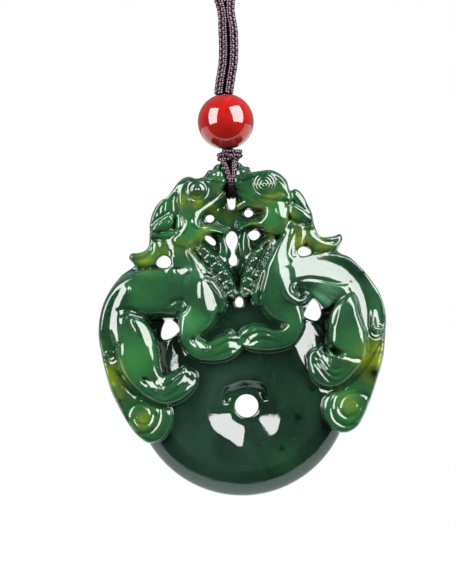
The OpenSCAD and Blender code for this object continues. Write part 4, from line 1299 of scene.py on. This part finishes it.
def make_knot(material):
    """The cord wound twice round the two strands, with a fuller turn on the right."""
    turns = []
    for k in range(27):
        a = math.radians(-120 + k * 30)
        right = max(math.cos(a), 0)
        r = 1.5 + 0.3 * right
        height = 45.6 - k * 0.05 + 0.15 * right * math.sin(a)
        turns.append((r * math.cos(a) + 0.12, r * math.sin(a), height))
    points = smooth_points(in_metres(turns, DROP), 5)
    coil = braided("knot_turns", points, 0.0015, 6, 0.0030, material, per_turn=22, strand=0.24)
    crossing = [(-0.9, -1.6, 45.3), (-0.3, -2.05, 45.15), (0.5, -2.1, 44.7), (1.2, -1.8, 44.2),
                (1.5, -1.2, 44.0)]
    points = smooth_points(in_metres(crossing, DROP), 6)
    over = braided("knot_crossing", points, 0.0009, 6, 0.0018, material, sides=5, per_turn=20, strand=0.2)
    knot = joined("knot_braid", [coil, over])
    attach(knot, "root")
    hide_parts("wrap_knot")


# Studio
LAMP = 13
LAMP_REACH = 0.7
FLOOR = [(-2, -0.08, -0.4), (2, -0.08, -0.4), (2, 2, -0.4), (-2, 2, -0.4)]


def soft_box(name, turn, rise, wide, tall, roll):
    """A light that looks at the pendant, turned and raised by degrees, wide and tall in metres."""
    a, b, r = np.radians((turn, rise, roll)).tolist()
    toward = Vector((math.sin(a) * math.cos(b), -math.cos(a) * math.cos(b), math.sin(b)))
    across = Vector((0, 0, 1)).cross(toward).normalized()
    above = toward.cross(across)
    across, above = across * math.cos(r) + above * math.sin(r), above * math.cos(r) - across * math.sin(r)
    data = bpy.data.lights.new(name, "AREA")
    data.shape = "RECTANGLE"
    data.size, data.size_y = wide, tall
    data.energy = LAMP * math.pi * wide * tall
    lamp = new_object(name, data)
    turned = Matrix((across, above, toward)).transposed().to_4x4()
    lamp.matrix_world = Matrix.Translation(AIM + toward * LAMP_REACH) @ turned
    return lamp


def keep_off(lamp, thing):
    """Lets a lamp light everything but one thing."""
    linked = bpy.data.collections.new(lamp.name + "_lights")
    linked.objects.link(thing)
    lamp.light_linking.receiver_collection = linked
    linked.collection_objects[0].light_linking.link_state = "EXCLUDE"


def make_world():
    """A dim grey-blue round the pendant, a little brighter behind it, that the camera sees as white."""
    world = bpy.data.worlds.new("studio")
    world.use_nodes = True
    bpy.context.scene.world = world
    tree = world.node_tree
    tree.nodes.clear()
    ray = add(tree, "ShaderNodeLightPath").outputs["Is Camera Ray"]
    place = add(tree, "ShaderNodeTexCoord").outputs["Generated"]
    behind = Number(tree, add(tree, "ShaderNodeSeparateXYZ", {0: place}).outputs["Y"])
    dim, white = [add(tree, "ShaderNodeBackground", {"Color": colour, "Strength": strength}).outputs[0]
                  for colour, strength in (((0.9, 0.95, 1, 1), behind.spread(-0.2, 0.6, 0.05, 0.32)),
                                           ((1, 1, 1, 1), 1.0))]
    mix = add(tree, "ShaderNodeMixShader", {0: ray, 1: dim, 2: white}).outputs[0]
    add(tree, "ShaderNodeOutputWorld", {"Surface": mix})


def make_studio():
    mesh = bpy.data.meshes.new("floor")
    mesh.from_pydata(FLOOR, [], [(0, 1, 2, 3)])
    mesh.materials.append(floor_finish())
    floor = new_object("floor", mesh)
    lamps = [soft_box("left_box", -57.4, 25.6, 0.474, 0.76, 9.5),
             soft_box("right_box", 56.5, 26.4, 0.623, 0.82, -8)]
    for lamp in lamps:
        keep_off(lamp, floor)
    make_world()
    bpy.context.scene.view_settings.view_transform = "Standard"


BRAID = braid_tree()
make_studio()
braid = braid_finish()
make_hanging_cord(braid)
make_tie(braid)
make_knot(braid)
bead = make_bead(bead_finish())
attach(bead, "root")
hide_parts("red_bead")
jade = make_carving()
jade.data.materials.append(jade_finish())
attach(jade, "root")
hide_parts("jade_carving")
